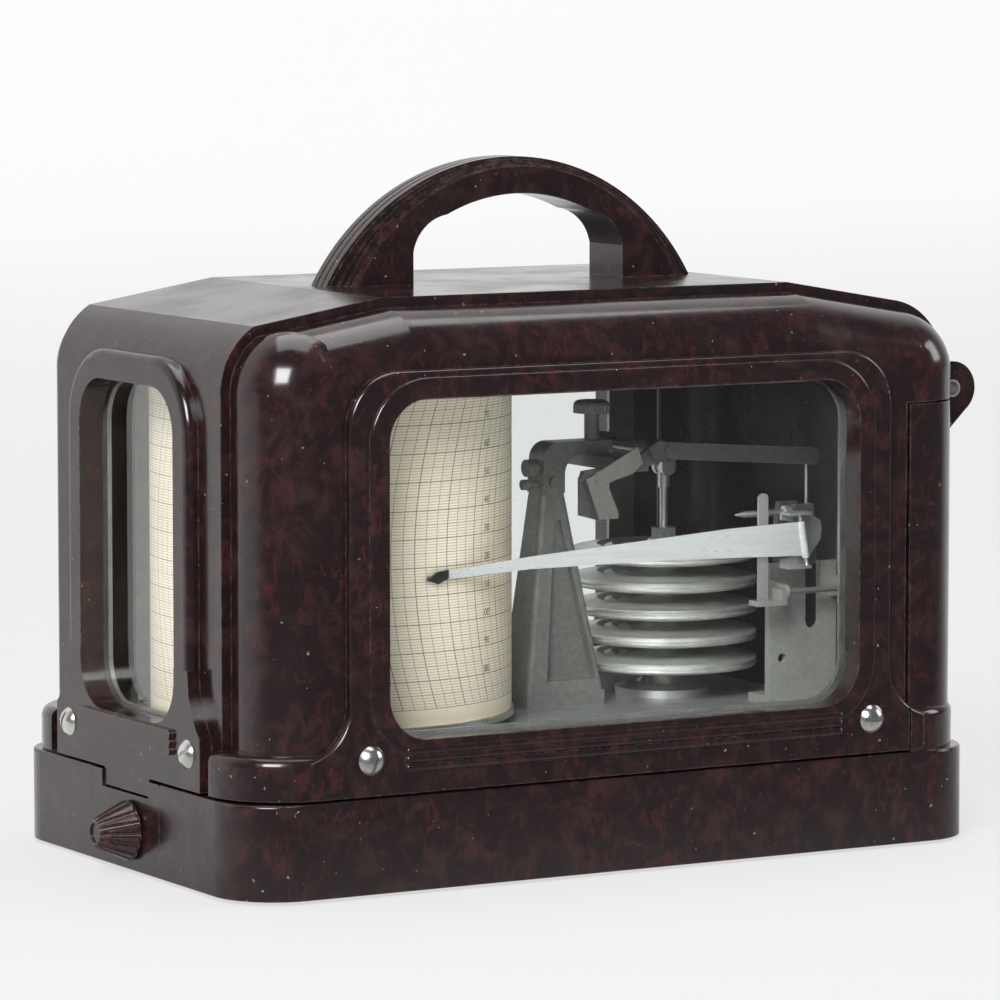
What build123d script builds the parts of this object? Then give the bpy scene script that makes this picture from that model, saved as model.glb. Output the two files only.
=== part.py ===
from build123d import *
import math
import os

# A table barograph: a moulded case with a hinged, glazed cover over a clock drum, a stack of vacuum
# capsules and the levers that carry the pen. Millimetres, +Z up, +X along the long front towards the
# hinge, -Y towards the viewer. The origin is on the table under the middle of the base.

os.makedirs("parts", exist_ok=True)

# Case: base
foot_height = 1.0
foot_radius = 7.0
foot_inset = 17.0
base_length = 220.0
base_depth = 135.0
base_height = 24.0
base_corner = 17.0
base_wall = 4.5
base_deck = 4.0
base_edge_round = 0.8
base_bottom = foot_height
base_top = base_bottom + base_height
base_end = base_length / 2
base_front = base_depth / 2

# Case: cover outline in the XZ plane
wall_left = 105.9
wall_right = 109.9
top_z = 148.3
top_half = 60.5
hip_left = 96.5
hip_right = 95.0
hip_drop = 6.0
shoulder_left_drop = 15.6
shoulder_right_radius = 18.4
band_half = 46.5
band_proud = 2.8
shell_half = 64.5
shell_round = 15.0
wall_thick = 3.4
cover_gap = 0.6
cover_bottom = base_top + cover_gap

# Skirt round the foot of the cover
skirt_inset = 0.9
skirt_corner = 20.0
skirt_height = 11.0
skirt_bead = 2.8
plate_half = 41.0
plate_groove = 4.2

# Windows
window_half = 69.7
window_low = 39.0
window_high = 124.3
window_corner = 11.0
frame_width = 10.7
frame_proud = 2.4
ring_width = 5.3
ring_proud = 0.8
end_window_half = 26.8
end_window_low = 40.2
end_window_high = 125.7
end_window_corner = 12.0
hood_width = 7.6
hood_proud = 3.4
ear_reach = 91.5
ear_height = 11.5
sill_rib_radius = 1.15
sill_rib_pitch = 2.1
sill_reach = 64.0
glass_thick = 2.0
glass_lap = 4.0
retainer_thick = 1.2
retainer_lap = 2.0
retainer_width = 8.5
seat_gap = 0.05
window_screw_x = 74.5
window_screw_y = 34.0
window_screw_z = 34.6
window_screw_radius = 3.7
window_screw_shank = 1.5
slot_width = 1.0

# Split between the cover and the end standard
split_x = 86.3
split_gap = 1.2
skirt_split_gap = 0.5
split_z = 117.0
split_z_gap = 0.5

# Hinge
hinge_x = 113.0
hinge_z = 118.3
lug_radius = 7.2
lug_thick = 6.0
lug_gap = 0.3
lug_clear = 0.5
lug_taper = 13.0
tube_outer = 2.35
tube_inner = 1.8
tube_running = 0.06

# Latch
block_half = 19.5
block_thick = 5.4
end_plate_inset = 0.6
tongue_half = 12.7
tongue_drop = 4.6
tongue_thick = 4.9
notch_gap = 0.5
knob_y = -3.0
knob_z = base_bottom + 10.2
knob_large = 7.7
knob_small = 3.7
knob_length = 9.6
knob_flutes = 16
knob_stand_off = 0.6
spindle_radius = 2.2
spindle_running = 0.06
hook_inner = 9.7
hook_outer = 12.4
hook_span = 84.0
hook_thick = 2.2
lip_radius = 9.0
lip_half = 2.2
lip_thick = 1.8
lip_lap = 1.4
leg_thick = 1.5

# Carrying handle
handle_x = 1.6
handle_half_thick = 8.5
handle_half_span = 48.2
handle_rise = 30.2
ridge_half_thick = 4.4
ridge_half_span = 55.0
ridge_rise = 32.5
grip_half_span = 31.6
grip_side_rise = 8.5
grip_rise = 23.0
reed_radius = 1.1

# Bed and column
bed_top = 35.5
bed_left = -97.0
bed_right = 84.0
bed_half = 52.0
bed_thick = 2.5
bed_corner = 8.0
column_y = -5.0
column_foot_left = 1.4
column_foot_right = 25.0
column_foot_depth = 15.0
column_head_depth = 8.0
column_neck_left = 7.9
column_neck_right = 14.9
column_top = 105.4
arch_reach = 29.5
arch_thick = 3.4
thumb_neck = 1.5

# Clock drum
drum_x = -49.6
drum_radius = 46.0
drum_wall = 0.8
drum_bottom = 37.2
drum_top = 133.0
drum_flange = 0.9
drum_floor = 41.0
chart_thick = 0.25
chart_low = 38.9
chart_height = 93.0
spindle_post = 3.0
spindle_clear = 0.08
module = 0.8
sun_teeth = 60
pinion_teeth = 12
gear_gap = 0.25
gear_thick = 2.0
pinion_shaft = 1.2
arbor_radius = 1.8

# Capsule stack
stack_x = 51.0
stack_y = 0.0
capsule_count = 5
capsule_radius = 25.0
capsule_pitch = 7.25
capsule_rim = 1.25
first_rim_z = 44.6
hub_radius = 4.0

# Levers
shaft_x = 33.0
shaft_z = 104.2
shaft_radius = 1.5
shaft_clear = 0.06
lever_y = -31.0
lever_thick = 1.6
lever_height = 4.4
link_x = 78.0
link_top_z = 100.6
rod_radius = 1.05
rod_sleeve = 1.5
rod_pin = 0.7
rod_eye_z = 99.0
axle_x = 70.5
axle_z = 82.5
axle_radius = 1.2
crank_end_z = 84.5
crank_y = -28.6
link_radius = 0.45
link_pin = 0.6
crank_pin = 0.5

# Pen arm, gate and lifter
arm_y = -46.7
arm_thick = 0.4
arm_low_z = 76.4
arm_high_z = 85.2
arm_tip_x = -48.2
arm_tip_z = 76.7
gate_low = (66.5, 73.9)
gate_high = (64.2, 87.0)
gate_radius = 0.5
sleeve_radius = 1.0
nib_clear = 0.15
bail_left = 52.4
bail_width = 2.9
bail_thick = 0.8
bail_y = -44.9
bail_top = 93.0
bail_pivot_z = 66.2
bail_pivot_y = -41.2
bail_rod = 0.8
bail_right = 79.5

# Pen bracket
bracket_y = -34.0
bracket_left = 62.3
bracket_right = 83.4
bracket_top = 73.0
bracket_thick = 2.0
slot_x = 76.0
slot_half = 2.3
slot_low = 55.0


def prism_x(outline, x_low, x_high):
    """Extrude an outline given in (y, z) from x_low to x_high."""
    return extrude(Plane.YZ.offset(x_low) * outline, amount=x_high - x_low)


def prism_y(outline, y_low, y_high):
    """Extrude an outline given in (x, z) from y_low to y_high."""
    return extrude(Plane.XZ.offset(-y_high) * outline, amount=y_high - y_low)


def prism_z(outline, z_low, z_high):
    """Extrude an outline given in (x, y) from z_low to z_high."""
    return extrude(Plane.XY.offset(z_low) * outline, amount=z_high - z_low)


def block(x_low, x_high, y_low, y_high, z_low, z_high):
    """A rectangular block between two corners."""
    centre = Pos((x_low + x_high) / 2, (y_low + y_high) / 2, (z_low + z_high) / 2)
    return centre * Box(x_high - x_low, y_high - y_low, z_high - z_low)


def rod_x(y, z, radius, x_low, x_high):
    """A cylinder along X."""
    return prism_x(Pos(y, z) * Circle(radius), x_low, x_high)


def rod_y(x, z, radius, y_low, y_high):
    """A cylinder along Y."""
    return prism_y(Pos(x, z) * Circle(radius), y_low, y_high)


def rod_z(x, y, radius, z_low, z_high):
    """A cylinder along Z."""
    return prism_z(Pos(x, y) * Circle(radius), z_low, z_high)


def bar_outline(start, end, height):
    """A straight bar with round ends between two points."""
    dx = end[0] - start[0]
    dz = end[1] - start[1]
    length = math.hypot(dx, dz)
    middle = Pos((start[0] + end[0]) / 2, (start[1] + end[1]) / 2)
    return middle * Rot(0, 0, math.degrees(math.atan2(dz, dx))) * SlotOverall(length + height, height)


def polygon(points):
    """A closed face through the given points."""
    return make_face(Polyline(*points, close=True))


def single(shape):
    """The largest solid of a shape, as one solid."""
    solids = sorted(shape.solids(), key=lambda piece: piece.volume)
    return solids[-1]


def mirrored(shape):
    """The shape and its mirror image front to back."""
    return [shape, mirror(shape, about=Plane.XZ)]


def write(name, *shapes):
    """Write one node as a STEP file, as one solid or a group of solids."""
    pieces = []
    for shape in shapes:
        pieces.extend(shape.solids())
    if len(pieces) == 1:
        node = pieces[0]
    else:
        node = Compound(children=pieces)
    node.label = name
    export_step(node, os.path.join("parts", name + ".step"))


# Cover and end standard

def case_profile():
    """The outline of the case in the XZ plane, running below the cover's lower edge."""
    low = base_bottom - 10.0
    hip_z = top_z - hip_drop
    left_arc_z = hip_z - shoulder_left_drop
    slope = math.atan2(hip_drop, hip_right - top_half)
    right_start = (hip_right, hip_z)
    right_centre = (
        hip_right - shoulder_right_radius * math.sin(slope),
        hip_z - shoulder_right_radius * math.cos(slope),
    )
    reach = wall_right - right_centre[0]
    right_end = (wall_right, right_centre[1] - (shoulder_right_radius - reach))
    middle_angle = math.radians(45) - slope / 2
    right_middle = (
        right_centre[0] + reach * math.cos(middle_angle),
        right_centre[1] + shoulder_right_radius * math.sin(middle_angle),
    )
    left_middle = (
        -wall_left + (wall_left - hip_left) * 0.36,
        left_arc_z + shoulder_left_drop * 0.64,
    )
    edges = [
        Line((-wall_left, low), (-wall_left, left_arc_z)),
        ThreePointArc((-wall_left, left_arc_z), left_middle, (-hip_left, hip_z)),
        Line((-hip_left, hip_z), (-top_half, top_z)),
        Line((-top_half, top_z), (top_half, top_z)),
        Line((top_half, top_z), right_start),
        ThreePointArc(right_start, right_middle, right_end),
        Line(right_end, (wall_right, low)),
        Line((wall_right, low), (-wall_left, low)),
    ]
    return make_face(Wire(edges))


def rounded_hull(inset, half, radius):
    """The case profile drawn in by inset, with its front and back edges rounded over."""
    outline = offset(case_profile(), amount=-inset, kind=Kind.INTERSECTION)
    solid = prism_y(outline, -half, half)
    floor_z = solid.bounding_box().min.Z
    rims = [
        edge for edge in solid.edges()
        if abs(abs(edge.center().Y) - half) < 0.01 and edge.bounding_box().max.Z > floor_z + 0.1
    ]
    return fillet(rims, radius)


def skirt():
    """The flange round the foot of the case, with a rounded bead along its top."""
    outline = RectangleRounded(
        2 * (base_end - skirt_inset), 2 * (base_front - skirt_inset), skirt_corner)
    solid = prism_z(outline, cover_bottom, cover_bottom + skirt_height)
    solid = fillet(solid.faces().sort_by(Axis.Z)[-1].edges(), skirt_bead)
    groove_low = plate_half
    groove_high = plate_half + plate_groove
    for side in (-1, 1):
        low, high = sorted((side * groove_low, side * groove_high))
        solid -= block(-base_end, -wall_left, low, high, cover_bottom - 1, cover_bottom + skirt_height + 1)
    return solid


def window_outline(half, low, high, corner, grow=0.0):
    """A rounded window opening, grown outward by grow."""
    return Pos(0, (low + high) / 2) * RectangleRounded(
        2 * (half + grow), high - low + 2 * grow, corner + grow)


def front_pad_outline():
    """The raised pad round the front window, flaring into the two screw ears."""
    side = window_half + frame_width
    crown = window_high + 0.65 * frame_width
    corner = window_corner + 3.0
    ear_z = cover_bottom + ear_height
    flare = ear_reach - side
    drop = corner * (1 - math.sqrt(0.5))
    edges = [
        Line((-ear_reach, cover_bottom), (-ear_reach, ear_z - 2)),
        ThreePointArc(
            (-ear_reach, ear_z - 2),
            (-side - 0.3 * flare, ear_z + 0.25 * flare),
            (-side, ear_z + flare)),
        Line((-side, ear_z + flare), (-side, crown - corner)),
        ThreePointArc((-side, crown - corner), (-side + drop, crown - drop), (-side + corner, crown)),
        Line((-side + corner, crown), (side - corner, crown)),
        ThreePointArc((side - corner, crown), (side - drop, crown - drop), (side, crown - corner)),
        Line((side, crown - corner), (side, ear_z + flare)),
        ThreePointArc(
            (side, ear_z + flare),
            (side + 0.3 * flare, ear_z + 0.25 * flare),
            (ear_reach, ear_z - 2)),
        Line((ear_reach, ear_z - 2), (ear_reach, cover_bottom)),
        Line((ear_reach, cover_bottom), (-ear_reach, cover_bottom)),
    ]
    return make_face(Wire(edges))


def front_frame():
    """Pad, ridged ring and sill ribs of the front window, still without its opening."""
    pad_face = shell_half + frame_proud
    ring_face = pad_face + ring_proud
    pad = prism_y(front_pad_outline(), -pad_face, -shell_half + 2)
    pad = fillet(pad.faces().sort_by(Axis.Y)[0].edges().filter_by(lambda e: e.center().Z > cover_bottom + 1), 1.2)
    ring = prism_y(
        window_outline(window_half, window_low, window_high, window_corner, ring_width),
        -ring_face, -pad_face + 1)
    ring = fillet(ring.faces().sort_by(Axis.Y)[0].edges(), 0.9)
    ribs = []
    for index in range(3):
        rib_z = window_low - ring_width - 0.4 - sill_rib_radius - index * sill_rib_pitch + 4.2
        bar = rod_x(-pad_face, rib_z, sill_rib_radius, -sill_reach, sill_reach)
        ribs.append(bar)
        for end in (-sill_reach, sill_reach):
            ribs.append(Pos(end, -pad_face, rib_z) * Sphere(sill_rib_radius))
    solid = pad + ring
    for rib in ribs:
        solid += rib
    return solid


def hook_back():
    """The inner side of the latch hook."""
    return -base_end + end_plate_inset + tongue_thick + 0.3 + hook_thick


def end_frame():
    """Hood, plate and sill of the left end window, still without its opening."""
    hood_face = -wall_left - hood_proud
    plate_face = -base_end + end_plate_inset
    outline = window_outline(
        end_window_half, end_window_low, end_window_high, end_window_corner, hood_width)
    hood = prism_x(outline, hood_face, -wall_left + 2)
    hood = fillet(hood.faces().sort_by(Axis.X)[0].edges(), 2.2)
    plate_top = cover_bottom + ear_height + 2
    side = end_window_half + hood_width
    flare = plate_half - side
    edges = [
        Line((-plate_half, cover_bottom), (-plate_half, plate_top)),
        ThreePointArc(
            (-plate_half, plate_top), (-side - 0.3 * flare, plate_top + flare), (-side, plate_top + 2.5 * flare)),
        Line((-side, plate_top + 2.5 * flare), (side, plate_top + 2.5 * flare)),
        ThreePointArc(
            (side, plate_top + 2.5 * flare), (side + 0.3 * flare, plate_top + flare), (plate_half, plate_top)),
        Line((plate_half, plate_top), (plate_half, cover_bottom)),
        Line((plate_half, cover_bottom), (-plate_half, cover_bottom)),
    ]
    plate = prism_x(make_face(Wire(edges)), plate_face, -wall_left + 2)
    solid = hood + plate
    for index in range(3):
        rib_z = end_window_low - 1.6 - index * sill_rib_pitch
        reach = end_window_half - 0.5
        solid += prism_x(
            Pos(0, rib_z) * SlotOverall(2 * reach, 2 * sill_rib_radius),
            plate_face - 1.1, plate_face + 0.5)
    return solid


def lug(upward):
    """Outline of a hinge lug in the XZ plane: a disc with a straight taper back to the wall."""
    sign = 1 if upward else -1
    root = wall_right - 2.5
    wall_z = hinge_z + sign * lug_taper
    taper = polygon([
        (root, hinge_z),
        (root, wall_z),
        (wall_right, wall_z),
        (hinge_x + lug_radius * math.cos(math.radians(38)), hinge_z + sign * lug_radius * math.sin(math.radians(38))),
        (hinge_x, hinge_z),
    ])
    disc = Pos(hinge_x, hinge_z) * Circle(lug_radius)
    return disc + taper


def case_envelope():
    """Cover and end standard together, hollow, before they are split."""
    band = prism_y(case_profile(), -band_half, band_half)
    shell = rounded_hull(band_proud, shell_half, shell_round)
    body = band + shell
    body -= block(-200, 200, -100, 100, -50, cover_bottom)
    body += skirt()
    for frame in mirrored(front_frame()):
        body += frame
    body += end_frame()
    inner_half = shell_half - wall_thick
    cavity = rounded_hull(band_proud + wall_thick, inner_half, shell_round - wall_thick)
    band_cavity = prism_y(
        offset(case_profile(), amount=-wall_thick, kind=Kind.INTERSECTION),
        -band_half + wall_thick, band_half - wall_thick)
    body -= cavity
    body -= band_cavity
    return body


def split_tool():
    """Space of the end standard: right of the split line and below the hinge."""
    post = block(split_x, 200, -100, 100, cover_bottom + skirt_height, split_z)
    foot = block(split_x, 200, -100, 100, -50, cover_bottom + skirt_height)
    return post + foot


def cover_shell():
    """The moulded cover with its three window openings, tongue and hinge lugs."""
    body = case_envelope() - split_tool()
    opening = window_outline(window_half, window_low, window_high, window_corner)
    for cutter in mirrored(prism_y(opening, -80, -50)):
        body -= cutter
    body -= prism_x(
        window_outline(end_window_half, end_window_low, end_window_high, end_window_corner), -120, -90)
    tongue_low = cover_bottom - tongue_drop
    plate_face = -base_end + end_plate_inset
    body += block(plate_face, plate_face + tongue_thick, -tongue_half, tongue_half, tongue_low, cover_bottom + 1)
    leg_front = hook_back() + 0.3
    leg_back = leg_front + leg_thick
    lip_z = knob_z + lip_radius
    body += block(hook_back() - lip_lap, leg_back, knob_y - lip_half, knob_y + lip_half,
                  lip_z - lip_thick, lip_z)
    body += block(leg_front, leg_back, knob_y - lip_half, knob_y + lip_half, lip_z - lip_thick, cover_bottom + 4)
    body += block(-wall_left + wall_thick - 0.5, leg_back, knob_y - lip_half, knob_y + lip_half,
                  cover_bottom, cover_bottom + 4)
    for side in (-1, 1):
        edge_a = side * band_half
        edge_b = side * (band_half - lug_thick - lug_gap)
        edge_c = side * (band_half - 2 * lug_thick - lug_gap)
        low, high = sorted((edge_a + side * lug_gap, edge_b))
        body -= rod_y(hinge_x, hinge_z, lug_radius + lug_clear, low, high)
        low, high = sorted((edge_b, edge_c))
        body += prism_y(lug(True), low, high)
        body -= rod_y(hinge_x, hinge_z, tube_outer + tube_running, low - 1, high + 1)
    for x in (-window_screw_x, window_screw_x):
        for cutter in mirrored(rod_y(x, window_screw_z, window_screw_shank + 0.1, -80, -50)):
            body -= cutter
    for y in (-window_screw_y, window_screw_y):
        body -= rod_x(y, window_screw_z, window_screw_shank + 0.1, -120, -90)
    for x in handle_screw_places():
        body -= rod_z(x, 0, 1.9, top_z - 20, top_z + 5)
    return single(body)


def end_standard():
    """The upright end of the case that carries the fixed hinge lugs."""
    region = block(split_x + split_gap, 200, -100, 100, cover_bottom + skirt_height, split_z - split_z_gap)
    region += block(split_x + skirt_split_gap, 200, -100, 100, base_top, cover_bottom + skirt_height)
    body = case_envelope() & region
    plan = RectangleRounded(
        2 * (base_end - skirt_inset), 2 * (base_front - skirt_inset), skirt_corner)
    foot = prism_z(plan, base_top, base_top + 4) & block(split_x + skirt_split_gap, 200, -100, 100, 0, 60)
    body += foot
    for side in (-1, 1):
        edge_a = side * band_half
        edge_b = side * (band_half - lug_thick)
        edge_c = side * (band_half - 2 * lug_thick - 2 * lug_gap)
        low, high = sorted((edge_b, edge_c))
        body -= rod_y(hinge_x, hinge_z, lug_radius + lug_clear, low, high)
        low, high = sorted((edge_a, edge_b))
        body += prism_y(lug(False), low, high)
        body -= rod_y(hinge_x, hinge_z, tube_outer, low - 1, high + 1)
    for x, y in standard_screw_places():
        body -= rod_z(x, y, 1.6, base_top - 1, base_top + 5)
    return single(body)


def standard_screw_places():
    return [(98.0, -38.0), (98.0, 0.0), (98.0, 38.0)]


def handle_screw_places():
    span = (grip_half_span + handle_half_span) / 2 - 1.0
    return [handle_x - span, handle_x + span]


def hinge_tubes():
    """Hollow rivets that join the lugs, one on each side."""
    tubes = []
    for side in (-1, 1):
        low, high = sorted((side * (band_half + 0.3), side * (band_half - 2 * lug_thick - 2 * lug_gap)))
        ring = Circle(tube_outer) - Circle(tube_inner)
        tubes.append(prism_y(Pos(hinge_x, hinge_z) * ring, low, high))
    return tubes


# Handle

def arch_outline(half_span, rise):
    """A round arch standing on the cover's flat top."""
    edges = [
        Line((handle_x + half_span, top_z), (handle_x - half_span, top_z)),
        ThreePointArc((handle_x - half_span, top_z), (handle_x, top_z + rise), (handle_x + half_span, top_z)),
    ]
    return make_face(Wire(edges))


def grip_outline():
    """The finger opening under the handle."""
    low = top_z - 1
    side_z = top_z + grip_side_rise
    knee_x = grip_half_span - 10.0
    knee_z = top_z + grip_rise - 5.0
    bend = (grip_half_span - 2.9, top_z + grip_side_rise + 5.8)
    edges = [
        Line((handle_x - grip_half_span, low), (handle_x - grip_half_span, side_z)),
        ThreePointArc((handle_x - grip_half_span, side_z), (handle_x - bend[0], bend[1]), (handle_x - knee_x, knee_z)),
        ThreePointArc((handle_x - knee_x, knee_z), (handle_x, top_z + grip_rise), (handle_x + knee_x, knee_z)),
        ThreePointArc((handle_x + knee_x, knee_z), (handle_x + bend[0], bend[1]), (handle_x + grip_half_span, side_z)),
        Line((handle_x + grip_half_span, side_z), (handle_x + grip_half_span, low)),
        Line((handle_x + grip_half_span, low), (handle_x - grip_half_span, low)),
    ]
    return make_face(Wire(edges))


def carry_handle():
    """Arched handle: two flat cheeks rising through a cove to a ridge of three reeds."""
    cheek = arch_outline(handle_half_span, handle_rise)
    solid = prism_y(cheek, -handle_half_thick, handle_half_thick)
    steps = 4
    for index in range(1, steps + 1):
        share = index / steps
        width = handle_half_thick + (ridge_half_thick - handle_half_thick) * share
        span = handle_half_span + (ridge_half_span - handle_half_span) * share ** 1.6 * 0.86
        rise = handle_rise + (ridge_rise - handle_rise) * share ** 1.6 * 0.7
        solid += prism_y(arch_outline(span, rise), -width, width)
    for offset_y in (-2 * 1.45, 0.0, 2 * 1.45):
        solid += prism_y(
            arch_outline(ridge_half_span, ridge_rise), offset_y - reed_radius, offset_y + reed_radius)
    solid -= prism_y(grip_outline(), -20, 20)
    for x in handle_screw_places():
        solid -= rod_z(x, 0, 1.5, top_z - 1, top_z + 9)
    return single(solid)


def handle_screws():
    """Two round-headed screws up through the cover into the handle's feet."""
    screws = []
    inner_top = top_z - wall_thick
    for x in handle_screw_places():
        shank = rod_z(x, 0, 1.5, inner_top - 0.5, top_z + 8.5)
        head = rod_z(x, 0, 3.2, inner_top - 2.4, inner_top)
        head = fillet(head.edges().group_by(Axis.Z)[0], 1.0)
        head -= block(x - 4, x + 4, -0.5, 0.5, inner_top - 3.4, inner_top - 1.4)
        screws.append(shank + head)
    return screws


# Glazing

def front_glazing():
    """Pane and sprung metal retainer of the front window."""
    seat = -shell_half + wall_thick + seat_gap
    pane = prism_y(
        window_outline(window_half, window_low, window_high, window_corner, glass_lap - 1),
        seat, seat + glass_thick)
    back = seat + glass_thick + seat_gap
    outer = Pos(0, (window_low + window_high) / 2 - 2.0) * RectangleRounded(
        2 * (window_half + glass_lap + 3), window_high - window_low + 2 * glass_lap + 5.0, 5.0)
    inner = window_outline(window_half, window_low, window_high, window_corner, retainer_lap - 3)
    frame = prism_y(outer - inner, back, back + retainer_thick)
    return pane, frame, seat, back


def screw_tab(x, seat, back):
    """Tab and threaded boss that a window screw pulls on."""
    tab = prism_y(
        Pos(x, window_screw_z + 1) * RectangleRounded(7.6, 9.0, 2.0), back, back + retainer_thick)
    boss = rod_y(x, window_screw_z, 2.8, seat, back + retainer_thick)
    return tab + boss - rod_y(x, window_screw_z, window_screw_shank, seat - 1, back + retainer_thick + 1)


def front_window_parts():
    pane, frame, seat, back = front_glazing()
    frame -= rod_y(-window_screw_x, window_screw_z, 2.0, back - 1, back + 2)
    frame -= rod_y(window_screw_x, window_screw_z, 2.0, back - 1, back + 2)
    for x in (-window_screw_x, window_screw_x):
        frame += screw_tab(x, seat, back)
    return pane, frame


def end_window_parts():
    """Pane and retainer of the left end window."""
    seat = -wall_left + wall_thick + seat_gap
    wall_end_z = top_z - hip_drop - shoulder_left_drop
    pane = prism_x(
        window_outline(end_window_half, end_window_low, end_window_high, end_window_corner, glass_lap - 1),
        seat, seat + glass_thick)
    pane &= block(-wall_left, 0, -base_front, base_front, base_top, wall_end_z - 0.2)
    back = seat + glass_thick + seat_gap
    outer = Pos(0, (end_window_low + end_window_high) / 2 - 3.0) * RectangleRounded(
        2 * (end_window_half + glass_lap + 2), end_window_high - end_window_low + 2 * glass_lap + 5.0, 5.0)
    inner = window_outline(end_window_half, end_window_low, end_window_high, end_window_corner, -1.0)
    frame = prism_x(outer - inner, back, back + retainer_thick)
    for y in (-window_screw_y, window_screw_y):
        frame += prism_x(Pos(y, window_screw_z + 1) * RectangleRounded(8.0, 9.0, 2.0), back, back + retainer_thick)
        frame += rod_x(y, window_screw_z, 2.8, seat, back + retainer_thick)
        frame -= rod_x(y, window_screw_z, window_screw_shank, seat - 1, back + retainer_thick + 1)
    return pane, single(frame)


def round_head_screw(length, turn):
    """A slotted round-head screw pointing along +Z, its head below the origin plane."""
    dome_rise = 2.1
    sphere_radius = (window_screw_radius ** 2 + dome_rise ** 2) / (2 * dome_rise)
    dome = Pos(0, 0, sphere_radius - dome_rise) * Sphere(sphere_radius)
    head = dome & Pos(0, 0, -dome_rise / 2) * Cylinder(window_screw_radius + 1, dome_rise)
    shank = Pos(0, 0, length / 2) * Cylinder(window_screw_shank, length)
    screw = head + shank
    slot = Rot(0, 0, turn) * Box(2 * window_screw_radius + 2, slot_width, 2.2)
    return screw - Pos(0, 0, -dome_rise) * slot


def window_screws():
    """Two screws for each of the three windows."""
    face_y = -shell_half - frame_proud
    length_y = frame_proud + wall_thick + glass_thick + 2 * seat_gap + retainer_thick + 1.0
    screws = []
    for x, turn in ((-window_screw_x, 98.0), (window_screw_x, 2.0)):
        screw = Pos(x, face_y, window_screw_z) * Rot(-90, 0, 0) * round_head_screw(length_y, turn)
        screws.extend(mirrored(screw))
    face_x = -base_end + end_plate_inset
    length_x = -wall_left + wall_thick + glass_thick + 2 * seat_gap + retainer_thick + 1.0 - face_x
    for y, turn in ((-window_screw_y, 60.0), (window_screw_y, 15.0)):
        screws.append(Pos(face_x, y, window_screw_z) * Rot(0, 90, 0) * round_head_screw(length_x, turn))
    return screws


# Base

def base_tray():
    """Moulded base, hollow below, with a deck, four foot bosses and the latch cut-out."""
    outline = RectangleRounded(base_length, base_depth, base_corner)
    tray = prism_z(outline, base_bottom, base_top)
    tray = fillet(tray.faces().sort_by(Axis.Z)[-1].edges(), base_edge_round)
    hollow = RectangleRounded(
        base_length - 2 * base_wall, base_depth - 2 * base_wall, base_corner - base_wall)
    tray -= prism_z(hollow, base_bottom - 1, base_top - base_deck)
    for x, y in foot_places():
        tray += rod_z(x, y, foot_radius + 2, base_bottom, base_top - base_deck + 1)
        tray -= rod_z(x, y, foot_radius + 0.1, base_bottom - 1, base_bottom + 0.8)
    block_back = -base_end + block_thick
    tray -= block(-base_end - 1, block_back, -block_half, block_half, 0, base_top + 1)
    tray -= block(block_back - 1, block_back + 6, -tongue_half - 1, tongue_half + 1,
                  base_top - base_deck - 1, base_top + 1)
    for x, y in standard_screw_places():
        tray -= rod_z(x, y, 1.7, base_top - base_deck - 1, base_top + 1)
    for x, y in bed_screw_places():
        tray -= rod_z(x, y, 1.7, base_top - base_deck - 1, base_top + 1)
    return single(tray)


def foot_places():
    x = base_end - foot_inset
    y = base_front - foot_inset
    return [(-x, -y), (x, -y), (-x, y), (x, y)]


def bed_screw_places():
    return [(-84.0, -40.0), (72.0, -44.0), (-84.0, 40.0), (72.0, 44.0)]


def feet():
    return [rod_z(x, y, foot_radius, 0, base_bottom + 0.8) for x, y in foot_places()]


def latch_block():
    """Separate block let into the left end of the base, with the notch for the tongue."""
    block_back = -base_end + block_thick
    solid = block(-base_end, block_back - 0.1, -block_half + 0.1, block_half - 0.1, base_bottom, base_top - 0.1)
    notch_low = cover_bottom - tongue_drop - notch_gap
    half = tongue_half + notch_gap
    solid -= block(-base_end - 1, block_back + 1, -half, half, notch_low, base_top + 1)
    solid -= rod_x(knob_y, knob_z, spindle_radius + spindle_running, -base_end - 1, block_back + 1)
    return single(solid)


def under_screws(places, head_z, length, head_radius=2.8):
    """Slotted cheese-head screws pointing up from head_z."""
    screws = []
    for x, y in places:
        screw = rod_z(x, y, 1.5, head_z - 0.5, head_z + length)
        head = rod_z(x, y, head_radius, head_z - 2.0, head_z)
        head -= block(x - 4, x + 4, y - 0.5, y + 0.5, head_z - 3, head_z - 1.1)
        screws.append(screw + head)
    return screws


def latch_knob():
    """Tapered fluted knob, small end outward."""
    start = -base_end - knob_stand_off
    outline = polygon([
        (0, 0),
        (knob_large, 0),
        (knob_large, 0.8),
        (knob_small, knob_length),
        (0, knob_length),
    ])
    cone = revolve(Plane.XZ * outline, axis=Axis.Z)
    slant = math.atan2(knob_large - knob_small, knob_length - 0.8)
    groove = Pos(knob_large + 0.15, 0, 0.8) * Rot(0, -math.degrees(slant), 0) * Pos(0, 0, 4) * Cylinder(0.85, 16)
    for index in range(knob_flutes):
        cone -= Rot(0, 0, 360 / knob_flutes * index) * groove
    cone -= Pos(0, 0, knob_length) * Cylinder(2.6, 1.0)
    cone -= Pos(0, 0, 2.0) * Cylinder(spindle_radius, 6.0)
    return single(Pos(start, knob_y, knob_z) * Rot(0, -90, 0) * cone)


def latch_spindle():
    start = -base_end - knob_stand_off - 4.8
    end = hook_back() + 1.0
    return rod_x(knob_y, knob_z, spindle_radius, start, end)


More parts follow.
